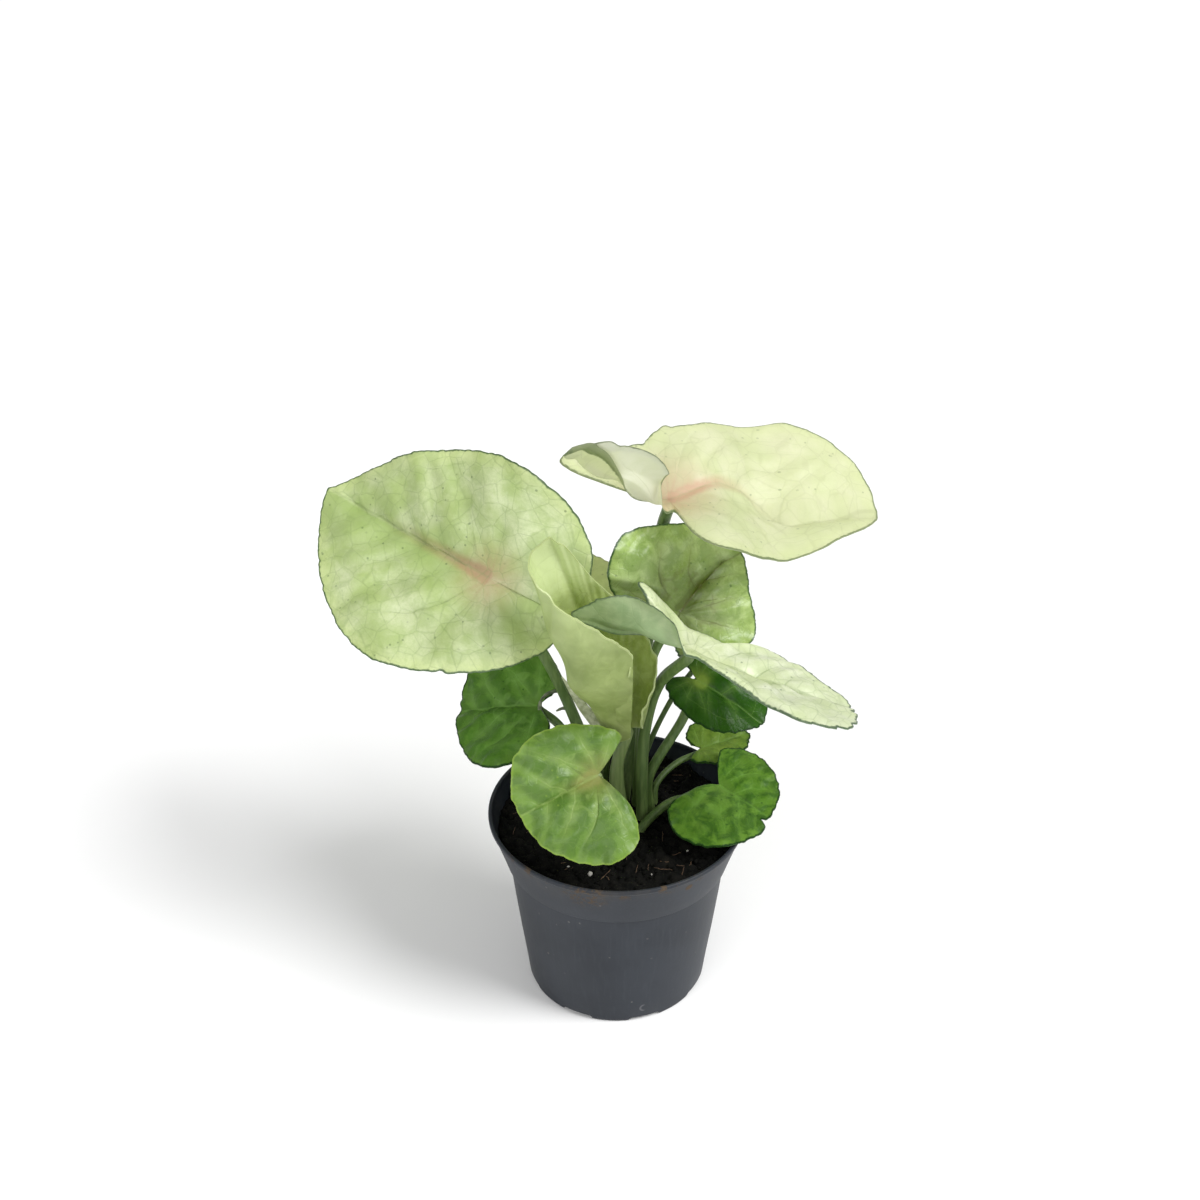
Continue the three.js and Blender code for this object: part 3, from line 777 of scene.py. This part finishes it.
def rolling(u, v, seed, length):
    """Soft uneven swellings, about as far apart as length."""
    dice = np.random.default_rng(seed)
    total = np.zeros(len(u))
    for _ in range(7):
        way, tone, shift = dice.uniform(0, math.pi), length * dice.uniform(0.7, 1.6), dice.uniform(0, 6.28)
        total += np.sin((u * math.cos(way) + v * math.sin(way)) / tone * 2 * math.pi + shift)
    return total / 3.5


def seed_of(name):
    return sum(map(ord, name))


def relief(leaf, seed, u, v, k):
    """Height of the sheet over its folds: quilting, swellings, the midrib's groove, curled places."""
    size = math.hypot(*leaf["tip"])
    rib, _ = side_veins(leaf, u, v)
    across = off_midrib(leaf, u, v)
    r = np.hypot(u, v)
    grow = np.clip((r - 0.08 * size) / (0.28 * size), 0, 1)
    inner = np.clip((1 - k) * 5, 0, 1)
    w = leaf.get("quilt", 0.010) * size * (0.5 - 0.5 * np.cos(2 * math.pi * rib)) * grow * inner
    w += leaf.get("roll", 0.010) * size * rolling(u, v, seed, 0.30 * size) * grow
    w += leaf.get("dome", 0.02) * size * 4 * k * (1 - k) * np.minimum(np.abs(across) / (0.15 * size), 1)
    w -= 0.012 * size * np.exp(-((across / (0.028 * size)) ** 2)) * np.clip(u / (0.1 * size), 0, 1) * inner
    for cu, cv, reach, height in leaf.get("crumple", []):
        near = np.clip(1 - np.hypot(u - cu, v - cv) / reach, 0, 1)
        w += height * near * rolling(u, v, seed + 5, 7)
    for cu, cv, heading, half, span, depth in leaf.get("turned", []):
        c, s = polar(1, math.radians(heading))
        past = np.clip(((u - cu) * c + (v - cv) * s) / span, 0, 1)
        aside = np.clip(1.5 - 1.5 * np.abs((u - cu) * s - (v - cv) * c) / half, 0, 1)
        w -= depth * past * past * (3 - 2 * past) * aside
    return w


def remember(piece, key, values):
    """Keeps one number for each point of a piece, which its material reads."""
    layer = piece.data.attributes.new(key, "FLOAT", "POINT")
    layer.data.foreach_set("value", values.astype(np.float32))


# TRIM keeps the ragged margin inside the solid blade. Closer than RIM_NEAR the distance to the margin is
# measured on the folded sheet too. FAR stands for no margin near.
TRIM, RIM_NEAR, FAR, SINUS_FREE = 0.1, 1.5, 99.0, 2.5


def blade_mesh(name, leaf, material):
    count, rows = leaf["size"]
    edge = margin(leaf, count)
    width = len(edge)
    s = np.linspace(0, 1, width)
    seed = seed_of(name)
    reach = np.hypot(edge[:, 0], edge[:, 1])
    ragged = leaf.get("rag", 0.2) * waver(s, seed, (41, 67, 97, 131))
    ragged = ragged + 0.35 * waver(s, seed + 1, (13, 23, 31)) - TRIM
    for place, half, depth in leaf.get("nicks", []):
        ragged -= depth * np.clip(1 - np.abs(s - place) / half, 0, 1)
    steps = np.linspace(0, 1, rows + 1)[1:]
    k = (1 - (1 - steps) ** 1.25)[:, None]
    grow = k * (1 + (ragged / reach)[None] * k**8)
    u = (edge[:, 0][None] * grow).ravel()
    v = (edge[:, 1][None] * grow).ravel()
    kk = np.repeat(k[:, 0], width)
    waves, height = leaf["wave"]
    wave = height * kk**3 * np.tile(np.sin(s * waves * 2 * math.pi), rows)
    run = np.gradient(edge, axis=0)
    aslant = np.abs(edge[:, 0] * run[:, 1] - edge[:, 1] * run[:, 0]) / (reach * np.hypot(*run.T) + 1e-9)
    frill = waver(s, seed + 2, (19, 27, 38)) * np.clip(1.8 * aslant - 0.15, 0, 1)
    wave += leaf.get("ruffle", 0.28) * kk**5 * np.tile(frill, rows)
    u, v, wave, kk = (np.concatenate(([first], a)) for first, a in ((0, u), (0, v), (0, wave), (0, kk)))
    wave += relief(leaf, seed, u, v, kk)
    lap = leaf.get("tuck", 0) * np.clip(1 - np.abs(v) / 6, 0, 1) * np.clip((-u - 2) / 6, 0, 1) * (v > 0)
    flat = np.column_stack((u, v - lap, wave - 0.3 * lap))
    half = np.array((0, 0, BLADE_THICKNESS / 2))
    points = np.vstack((on_sheet(leaf, flat + half), on_sheet(leaf, flat - half)))
    lower = len(flat)

    def spot(row, j):
        return 0 if row == 0 else 1 + (row - 1) * width + j

    faces = []
    for row in range(rows):
        for j in range(width - 1):
            a, b, c, d = spot(row, j), spot(row, j + 1), spot(row + 1, j + 1), spot(row + 1, j)
            ring = (a, b, c, d) if row else (a, c, d)
            faces.append(ring)
            faces.append(tuple(lower + i for i in ring[::-1]))
    border = [spot(row, 0) for row in range(rows + 1)] + [spot(rows, j) for j in range(1, width)]
    border += [spot(row, width - 1) for row in range(rows - 1, 0, -1)]
    for a, b in zip(border, border[1:] + border[:1]):
        faces.append((a, b, lower + b, lower + a))
    piece = body(name, points, faces, material, sharp=55)
    outer = [i for i in border if math.hypot(u[i], v[i]) > SINUS_FREE]
    rim = np.full(lower, FAR)
    for i in np.flatnonzero(kk > 0.5):
        rim[i] = np.sqrt(((flat[outer] - flat[i]) ** 2).sum(1).min())
    for i in np.flatnonzero(rim < RIM_NEAR):
        rim[i] = max(rim[i], np.sqrt(((points[outer] - points[i]) ** 2).sum(1).min()))
    if "tuck" in leaf:
        rim[(u < 0) & (np.abs(v) < 4) & (rim < 4)] = 4
    rib, gap = side_veins(leaf, u, v)
    facts = {"rib": rib, "gap": gap, "rim": rim, "row": kk, "across": off_midrib(leaf, u, v)}
    for key, values in facts.items():
        remember(piece, key, np.concatenate((values, values)))
    remember(piece, "under", np.repeat((0.0, 1.0), lower))
    mesh = piece.data
    sheet = mesh.uv_layers.new(name="sheet")
    corners = np.empty(len(mesh.loops), dtype=np.int64)
    mesh.loops.foreach_get("vertex_index", corners)
    place = np.column_stack((u, v))[corners % lower] / SHEET_SCALE
    sheet.data.foreach_set("uv", place.astype(np.float32).ravel())
    return piece


# Looks. Colours: base and second, clouded together; rib, the veins; edge, the margin; fresh, a band inside
# it; under, the back; dark, the blotches and the painted shade by the midrib; flush, round the attachment.
# In
# mm: spread and streak, how far the flush runs all round and down the midrib; loop, from the margin to a
# vein inside it; cell, the vein net's meshes; tip, painted light: a paler tint from the first distance to
# the second, where light falls into the rolled blade. Strengths: mottle of second, patch of dark, net, ribs
# and halo of rib, pink of flush, painted_midrib_shade of painted shade on one side of the midrib, veiny of
# blotches between veins. shine is the roughness, gloss the specular level and light the share that comes
# through.
NO_LOOP = 99
PALE = dict(
    base=(0.65, 0.72, 0.43), second=(0.43, 0.55, 0.19), rib=(0.20, 0.29, 0.09), edge=(0.025, 0.08, 0.018),
    under=(0.21, 0.33, 0.13), flush=(0.45, 0.27, 0.16), dark=(0.31, 0.43, 0.12), spread=14, streak=42,
    pink=0.9, mottle=0.9, patch=0.4, net=0.4, ribs=0.32, loop=5, cell=5, shine=0.32, gloss=0.8, light=0.2,
    fresh=(0.64, 0.74, 0.30), painted_midrib_shade=0.7, halo=0.2, veiny=0.1,
)
GREEN = dict(
    base=(0.066, 0.165, 0.012), second=(0.13, 0.255, 0.033), rib=(0.16, 0.29, 0.06),
    edge=(0.012, 0.045, 0.006), under=(0.08, 0.16, 0.045), flush=(0.12, 0.22, 0.04),
    dark=(0.016, 0.062, 0.003), spread=5, streak=12, pink=0.4, mottle=0.9, patch=0.4, net=0.08, ribs=0.4,
    loop=3.5, cell=2.6, shine=0.28, gloss=0.14, light=0.08, fresh=(0.11, 0.23, 0.025), painted_midrib_shade=0, halo=0.3,
    veiny=0.3,
)
LOOKS = {
    "cream": PALE,
    "cream_pink": PALE | dict(
        base=(0.71, 0.72, 0.54), second=(0.60, 0.66, 0.40), rib=(0.30, 0.33, 0.17),
        flush=(0.58, 0.29, 0.24), painted_midrib_shade=0, under=(0.88, 0.90, 0.78), spread=20, streak=36, pink=1.0,
        net=0.3, patch=0.2, dark=(0.53, 0.60, 0.30), fresh=(0.68, 0.75, 0.42), loop=6.5, gloss=0.4,
        light=0.42,
    ),
    "cream_plain": PALE | dict(
        base=(0.83, 0.86, 0.68), second=(0.64, 0.72, 0.42), flush=(0.54, 0.62, 0.25), pink=0.4, painted_midrib_shade=0.2,
        fresh=(0.76, 0.84, 0.52), ribs=0.5, dark=(0.52, 0.62, 0.30),
    ),
    # Painted light: a leaf in the shade of others, its colours raised to stand in for the light it shows.
    "painted_light_back": PALE | dict(
        base=(0.74, 0.86, 0.46), second=(0.60, 0.75, 0.33), under=(0.46, 0.62, 0.26), pink=0, painted_midrib_shade=0,
        net=0.15, light=0.4, gloss=0.4,
    ),
    # Painted highlight: here edge is a pale cream, the margin and specks painted as the lit free edge of the
    # rolled blade.
    "young": PALE | dict(
        base=(0.40, 0.51, 0.095), second=(0.56, 0.66, 0.25), rib=(0.17, 0.22, 0.03), painted_midrib_shade=0,
        edge=(0.56, 0.64, 0.30), under=(0.22, 0.285, 0.075), flush=(0.22, 0.26, 0.03), pink=0.5, net=0.1,
        ribs=0.2, loop=NO_LOOP, dark=(0.22, 0.28, 0.04), shine=0.30, gloss=0.7,
        tip=(44, 62, (0.66, 0.76, 0.38)), light=0.25, fresh=(0.46, 0.56, 0.19), mottle=1.0,
    ),
    "mid": GREEN | dict(
        base=(0.29, 0.43, 0.095), second=(0.50, 0.62, 0.28), rib=(0.10, 0.085, 0.015),
        edge=(0.03, 0.09, 0.015), under=(0.16, 0.26, 0.09), flush=(0.10, 0.145, 0.014),
        dark=(0.13, 0.23, 0.03), spread=21, streak=30, pink=0.95, patch=0.5, net=0.12, ribs=0.5, halo=0.2,
        gloss=0.6, shine=0.26, light=0.15, loop=NO_LOOP, cell=3.2, fresh=(0.40, 0.54, 0.15),
    ),
    "light": GREEN | dict(
        base=(0.088, 0.185, 0.020), second=(0.155, 0.275, 0.048), rib=(0.30, 0.42, 0.12),
        edge=(0.20, 0.32, 0.04), under=(0.12, 0.20, 0.06), flush=(0.27, 0.27, 0.08),
        dark=(0.045, 0.115, 0.010), spread=10, streak=13, pink=0.8, patch=0.5, net=0.12, ribs=0.5,
        halo=0.4, veiny=0.6, light=0.12, shine=0.30, gloss=0.4, loop=NO_LOOP, cell=3.0,
        fresh=(0.18, 0.31, 0.04),
    ),
    "lime": GREEN | dict(base=(0.13, 0.22, 0.025), second=(0.22, 0.32, 0.045), light=0.2),
    "mottled": GREEN | dict(
        patch=0.7, ribs=0.45, loop=NO_LOOP, dark=(0.018, 0.072, 0.007), halo=0.25, veiny=0.25,
        rib=(0.15, 0.31, 0.05),
    ),
    "deep": GREEN | dict(
        base=(0.070, 0.185, 0.016), second=(0.135, 0.27, 0.045), patch=0.45, ribs=0.6, loop=NO_LOOP,
        halo=0.4, dark=(0.025, 0.088, 0.006), veiny=0.5, rib=(0.19, 0.36, 0.08),
    ),
    "dark": GREEN | dict(
        base=(0.016, 0.066, 0.003), second=(0.028, 0.095, 0.006), flush=(0.18, 0.27, 0.04), spread=6,
        streak=4, pink=0.9, dark=(0.012, 0.052, 0.002), shine=0.22, ribs=0.3, loop=4.5, net=0.0,
        fresh=(0.03, 0.10, 0.008),
    ),
}


def fact(name):
    """What remember kept under this name."""
    return Wire.node("ShaderNodeAttribute", {"attribute_name": name}, output=2)


def blade_skin(look):
    """How a blade is drawn. Distances on it are in millimetres of the flat sheet."""

    def cells(feature, place, scale):
        return Wire.node("ShaderNodeTexVoronoi", {"feature": feature}, {"Vector": place, "Scale": scale})

    def draw():
        place = Wire.node("ShaderNodeUVMap", {"uv_map": "sheet"}).vector("SCALE", SHEET_SCALE)
        u, v, _ = place.parts()
        rib, gap, rim, row = fact("rib"), fact("gap"), fact("rim"), fact("row")
        under, across = fact("under"), fact("across")
        fine = grain(place, 0.55, 4, 0.65)
        broad = grain(place, 0.075, 3, 0.55)
        wobble = (grain(place, 0.14, 2) - 0.5) * 0.30
        off_rib = abs((rib + wobble + 0.5).math("FRACT") - 0.5)
        from_rib = off_rib * gap
        strength = row.fade(0.93, 0.5) * (0.3 + 0.9 * grain(place, 0.3, 2)) * row.fade(0.10, 0.42)
        side_vein = from_rib.fade(0.30, 0.05) * strength
        halo = from_rib.fade(2.2, 0.2) * strength
        mid_vein = abs(across + wobble).fade(0.50, 0.12) * u.fade(-0.5, 1.0)
        loop_line = abs(rim - look["loop"] + (grain(place, 0.10, 2) - 0.5) * 7.0).fade(0.26, 0.05)
        drift = {"Vector": place, "Scale": 0.2, "Detail": 3}
        warped = place.vector("ADD", Wire.node("ShaderNodeTexNoise", inputs=drift, output=1))
        coarse = cells("DISTANCE_TO_EDGE", warped, 1 / look["cell"]).fade(0.05, 0.0)
        close = cells("DISTANCE_TO_EDGE", warped, 3.2 / look["cell"]).fade(0.07, 0.0)
        web = (coarse * 0.9 + close * 0.25) * (0.3 + 0.9 * broad)
        colour = (broad.fade(0.36, 0.66) * look["mottle"]).paint(look["base"], look["second"])
        flecks = grain(place, 1.3, 4, 0.7)
        colour = (flecks.fade(0.42, 0.62) * 0.35 * look["mottle"]).paint(colour, look["second"])
        outer = rim.fade(5.0, 0.8) * (0.2 + 0.9 * fine)
        colour = (outer * 0.75).paint(colour, look["fresh"])
        between = off_rib * row.fade(0.05, 0.3)
        patchy = (grain(place, 0.17, 5, 0.68, 0.7) + (between - 0.22) * look["veiny"]).fade(0.42, 0.62)
        colour = (patchy * look["patch"]).paint(colour, look["dark"])
        colour = (halo * look["halo"]).paint(colour, look["rib"])
        # Painted shade: the blade darkened on one side of the midrib, where the sheet dips and turns from
        # the light.
        painted_midrib_shade = across.fade(17, 2.5) * across.fade(0.0, 1.2) * u.fade(-2, 8) * look["painted_midrib_shade"]
        colour = painted_midrib_shade.paint(colour, look["dark"])
        # Painted light and shade: the rolled blade paler towards its tip, where light falls into it, darker
        # deeper in.
        if "tip" in look:
            start, end, painted_light_tint = look["tip"]
            colour = (u + 9 * (fine - 0.5)).fade(start, end).paint(colour, painted_light_tint)
        near = (u * u + v * v).math("SQRT")
        stripe = abs(across).fade(3.4, 0.3) * u.fade(look["streak"], 2.0) * u.fade(-1.0, 1.0)
        rays = Wire.node("ShaderNodeCombineXYZ", inputs={0: near * 0.05, 1: rib * 2.2, 2: 0.0})
        streaky = grain(rays, 1.0, 3)
        flush = (near.fade(look["spread"], 0.5) * (0.35 + 0.9 * streaky) + stripe) * (0.5 + 0.7 * fine)
        colour = (flush.math("MINIMUM", 1.0) * look["pink"]).paint(colour, look["flush"])
        colour = (web * look["net"]).paint(colour, look["rib"])
        lines = (side_vein + loop_line * 0.6 + mid_vein * 0.8).math("MINIMUM", 1.0)
        colour = (lines * look["ribs"]).paint(colour, look["rib"])
        specks = cells("F1", place, 0.42).fade(0.17, 0.09) * grain(place, 0.12, 2).fade(0.47, 0.60)
        colour = (specks * 0.6).paint(colour, look["edge"])
        edge = (rim + 0.9 * (grain(place, 0.9, 3) - 0.5)).fade(0.68, 0.2)
        colour = edge.paint(colour, look["edge"])
        back = ((broad.fade(0.3, 0.7) + patchy * 0.7) * 0.25).paint(look["under"], look["second"])
        # Painted light on the back as well: paler towards the tip.
        if "tip" in look:
            back = ((u + 30 * (broad - 0.5)).fade(34, 66) * 0.55).paint(back, painted_light_tint)
        back = (lines * 0.3).paint(back, look["rib"])
        back = (edge * 0.8).paint(back, look["edge"])
        colour = under.paint(colour, back)
        height = fine * 0.4 - web * 0.5 - side_vein * 0.7 + grain(place, 1.6, 2) * 0.25
        return {
            "Base Color": colour,
            "Roughness": look["shine"] + 0.16 * fine + 0.12 * under,
            "Normal": bump(height, 0.4, 0.25),
            "Specular IOR Level": look["gloss"],
            "see_through": (look["light"], tuple(min(1.0, c * 1.35) for c in look["base"])),
        }

    return draw


skins = {name: finish("blade_" + name, blade_skin(look)) for name, look in LOOKS.items()}


def stalk_path(points, count):
    """count points along a centripetal Catmull-Rom curve through points."""
    points = [np.array(p, float) for p in points]
    last, out = len(points) - 1, []
    for k in range(count):
        place = last * k / (count - 1)
        i = min(int(place), last - 1)
        f = place - i
        p1, p2 = points[i], points[i + 1]
        p0 = points[i - 1] if i else 2 * p1 - p2
        p3 = points[i + 2] if i + 2 <= last else 2 * p2 - p1
        d0, d1, d2 = (max(np.linalg.norm(b - a) ** 0.5, 1e-4) for a, b in ((p0, p1), (p1, p2), (p2, p3)))
        m1 = ((p1 - p0) / d0 - (p2 - p0) / (d0 + d1) + (p2 - p1) / d1) * d1
        m2 = ((p2 - p1) / d1 - (p3 - p1) / (d1 + d2) + (p3 - p2) / d2) * d1
        square, cube = -3 * p1 + 3 * p2 - 2 * m1 - m2, 2 * p1 - 2 * p2 + m1 + m2
        out.append(p1 + m1 * f + square * f**2 + cube * f**3)
    return np.array(out)


# FOOT_LEVEL is the height of a petiole's foot over the pot's base, inside the soil.
# HEAD_TAPER narrows its last rings, inside the blade.
FOOT_LEVEL, PETIOLE_STEPS, PETIOLE_SIDES = 46, 60, 28
HEAD_TAPER = np.array((1.0, 0.95, 0.85, 0.7, 0.45))


def petiole_mesh(name, leaf, material):
    x, y = leaf["foot"]
    along, _, up = blade_frame(leaf["pose"])
    at = np.array(leaf["at"], float)
    foot, head = leaf["radii"]
    # The rolled blade stands on its petiole's end. The others lie across it, with its tip inside the sheet.
    if name == "rolled":
        ends = [at - along * 1.2, at + along * 2.0]
    else:
        ends = [at - up * (0.75 + head), at - up * 0.25]
    path = stalk_path([(x, y, FOOT_LEVEL), (x, y, SOIL_LEVEL), *leaf["via"], ends[0]], PETIOLE_STEPS)
    tail = path[-1] + (ends[1] - path[-1]) * np.linspace(0.2, 1, len(HEAD_TAPER))[:, None]
    path = np.vstack((path, tail))
    t = np.linspace(0, 1, len(path))
    radii = foot + (head - foot) * np.minimum(1, 1.6 * t)
    radii *= 1 + 0.03 * waver(t, seed_of(name), (3, 5))
    radii[-len(HEAD_TAPER):] *= HEAD_TAPER
    points, faces = swept(path, radii, PETIOLE_SIDES)
    points = np.array(points).reshape(len(path), PETIOLE_SIDES, 3)
    turns = np.arange(PETIOLE_SIDES) / PETIOLE_SIDES * 2 * math.pi
    ridges = 1 + 0.035 * np.cos(turns * 7 + 1) - 0.10 * np.exp(-(((turns - 4.2) / 0.35) ** 2))
    points = path[:, None] + (points - path[:, None]) * ridges[None, :, None]
    piece = body("petiole_" + name, points.reshape(-1, 3), faces, material)
    remember(piece, "run", np.repeat(t, PETIOLE_SIDES))
    return piece


def petiole_skin(low, high):
    run = fact("run")
    place = object_place()
    streak = grain(place.vector("MULTIPLY", (900, 900, 60)), 1, 3)
    colour = streak.fade(0.35, 0.7).paint(low, high)
    colour = (run.fade(0.35, 0.05) * 0.55).paint(colour, (0.30, 0.38, 0.17))
    colour = (run.fade(0.9, 1.0) * 0.4).paint(colour, (0.33, 0.38, 0.18))
    colour = (grain(place, 160, 3).fade(0.55, 0.7) * 0.3).paint(colour, (0.09, 0.15, 0.04))
    return {
        "Base Color": colour,
        "Roughness": 0.42 + 0.15 * streak,
        "Normal": bump(streak, 0.35, 0.12),
        "see_through": (0.12, (0.30, 0.42, 0.14)),
    }


stalk_green = finish("petiole_green", lambda: petiole_skin((0.080, 0.145, 0.032), (0.145, 0.225, 0.062)))
sheath_green = finish("sheath_green", lambda: petiole_skin((0.19, 0.28, 0.085), (0.30, 0.39, 0.15)))
for name, leaf in LEAVES.items():
    blade = blade_mesh("blade_" + name, leaf, skins[leaf["look"]])
    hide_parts("leaf_" + name)
    petiole = petiole_mesh(name, leaf, sheath_green if name in ("rolled", "front_low") else stalk_green)
    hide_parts("petiole_" + name)

# Dried remains: old leaf sheaths that have shrivelled to curled strips between the stalks, and the pale
# papery sheath of the youngest leaf. They hang on where they grew.

# A strip's path, its radius and its thickness as a share of its width.
SHEATHS = [
    (
        [(-12.4, 8, 92.8), (-14.4, 8, 94.2), (-17.3, 8.4, 94.6), (-20.1, 8, 93.9), (-21.9, 8, 91.8)],
        0.75, 0.4,
    ),
    (
        [(-21.9, 8, 91.8), (-22.2, 8, 88.3), (-20.8, 8.3, 85.5), (-18.5, 8, 84.1), (-16.5, 8, 81.9)],
        0.8, 0.45,
    ),
    ([(-17.6, 8, 87.9), (-15.6, 8.4, 88.6), (-13.6, 8, 88.3), (-13.1, 7.6, 86.2)], 0.6, 0.5),
    ([(-16.5, 8, 81.9), (-14.6, 8.8, 79.0), (-11.8, 7.4, 74.0), (-9.8, 5.4, 67.0)], 0.8, 0.5),
]
PAPERY = [(-15.7, 3.6, 102.8), (-12.9, 3.4, 98.0), (-9.8, 3.0, 92.9), (-6.0, 2.6, 87.0), (-2.6, 2.2, 80.5)]


def shrivelled(colour_low, colour_high):
    def draw():
        place = object_place()
        crease = grain(place, 500, 4, 0.65)
        colour = crease.fade(0.35, 0.65).paint(colour_low, colour_high)
        return {
            "Base Color": colour,
            "Roughness": 0.6 + 0.2 * crease,
            "Normal": bump(crease, 0.5, 0.2),
            "see_through": (0.15, colour_high),
        }

    return draw


straw = finish("dried_sheath", shrivelled((0.10, 0.13, 0.07), (0.27, 0.29, 0.20)))
paper = finish("papery_sheath", shrivelled((0.33, 0.38, 0.19), (0.62, 0.66, 0.44)))
for number, (points, radius, squash) in enumerate(SHEATHS):
    path = stalk_path(points, 36)
    t = np.linspace(0, 1, len(path))
    thick = radius * (0.35 + 0.65 * np.sin(math.pi * t) ** 0.6)
    thick = thick * (1 + 0.22 * waver(t, 40 + number, (5, 9, 14)))
    skin_points, skin = swept(path, thick, 16, squash)
    strip = body(f"dried_sheath_{number}", skin_points, skin, straw)
path = stalk_path(PAPERY, 40)
t = np.linspace(0, 1, len(path))
thick = 0.25 + 1.75 * np.sin(math.pi * np.minimum(t * 0.75, 1)) ** 1.2
skin_points, skin = swept(path, thick, 20, 0.28)
body("papery_sheath", skin_points, skin, paper)

# Studio: a white table that runs out of sight, a broad soft sun from the right, a weak lamp in front on the
# left, an even white surround, and the camera above and in front of the pot.

SURROUND, LAMPS_AIM = 0.45, (0, 0, 0.08)
CAMERA_PLACE, CAMERA_TILT, FOCAL_LENGTH, SENSOR_WIDTH = (-0.00503, -0.45891, 0.42044), 32.28, 60, 36


def table_white():
    return {"Base Color": (0.94, 0.94, 0.94, 1), "Roughness": 0.75, "Specular IOR Level": 0.2}


table_mesh = bpy.data.meshes.new("table")
table_mesh.from_pydata([(-4, -3, 0), (4, -3, 0), (4, 6, 0), (-4, 6, 0)], [], [(0, 1, 2, 3)])
table_mesh.materials.append(finish("table_white", table_white))
table = bpy.data.objects.new("table", table_mesh)
bpy.context.scene.collection.objects.link(table)

world = bpy.data.worlds.new("studio")
world.use_nodes = True
world.node_tree.nodes["Background"].inputs["Color"].default_value = (1, 1, 1, 1)
world.node_tree.nodes["Background"].inputs["Strength"].default_value = SURROUND
bpy.context.scene.world = world


def lamp(name, kind, place, power, settings):
    light = bpy.data.lights.new(name, kind)
    light.energy = power
    for key, value in settings.items():
        setattr(light, key, value)
    holder = bpy.data.objects.new(name, light)
    holder.location = place
    holder.rotation_euler = (Vector(LAMPS_AIM) - Vector(place)).to_track_quat("-Z", "Y").to_euler()
    bpy.context.scene.collection.objects.link(holder)


lamp("key", "SUN", (0.55, -0.22, 0.72), 2.75, {"angle": math.radians(30)})
lamp("fill", "AREA", (-0.45, -0.85, 0.70), 5.0, {"shape": "SQUARE", "size": 0.8})

eye = bpy.data.cameras.new("camera")
eye.lens, eye.sensor_width, eye.clip_end = FOCAL_LENGTH, SENSOR_WIDTH, 20
camera = bpy.data.objects.new("camera", eye)
camera.location = CAMERA_PLACE
camera.rotation_euler = (math.radians(90 - CAMERA_TILT), 0, 0)
bpy.context.scene.collection.objects.link(camera)
bpy.context.scene.camera = camera
bpy.context.scene.view_settings.view_transform = "Standard"
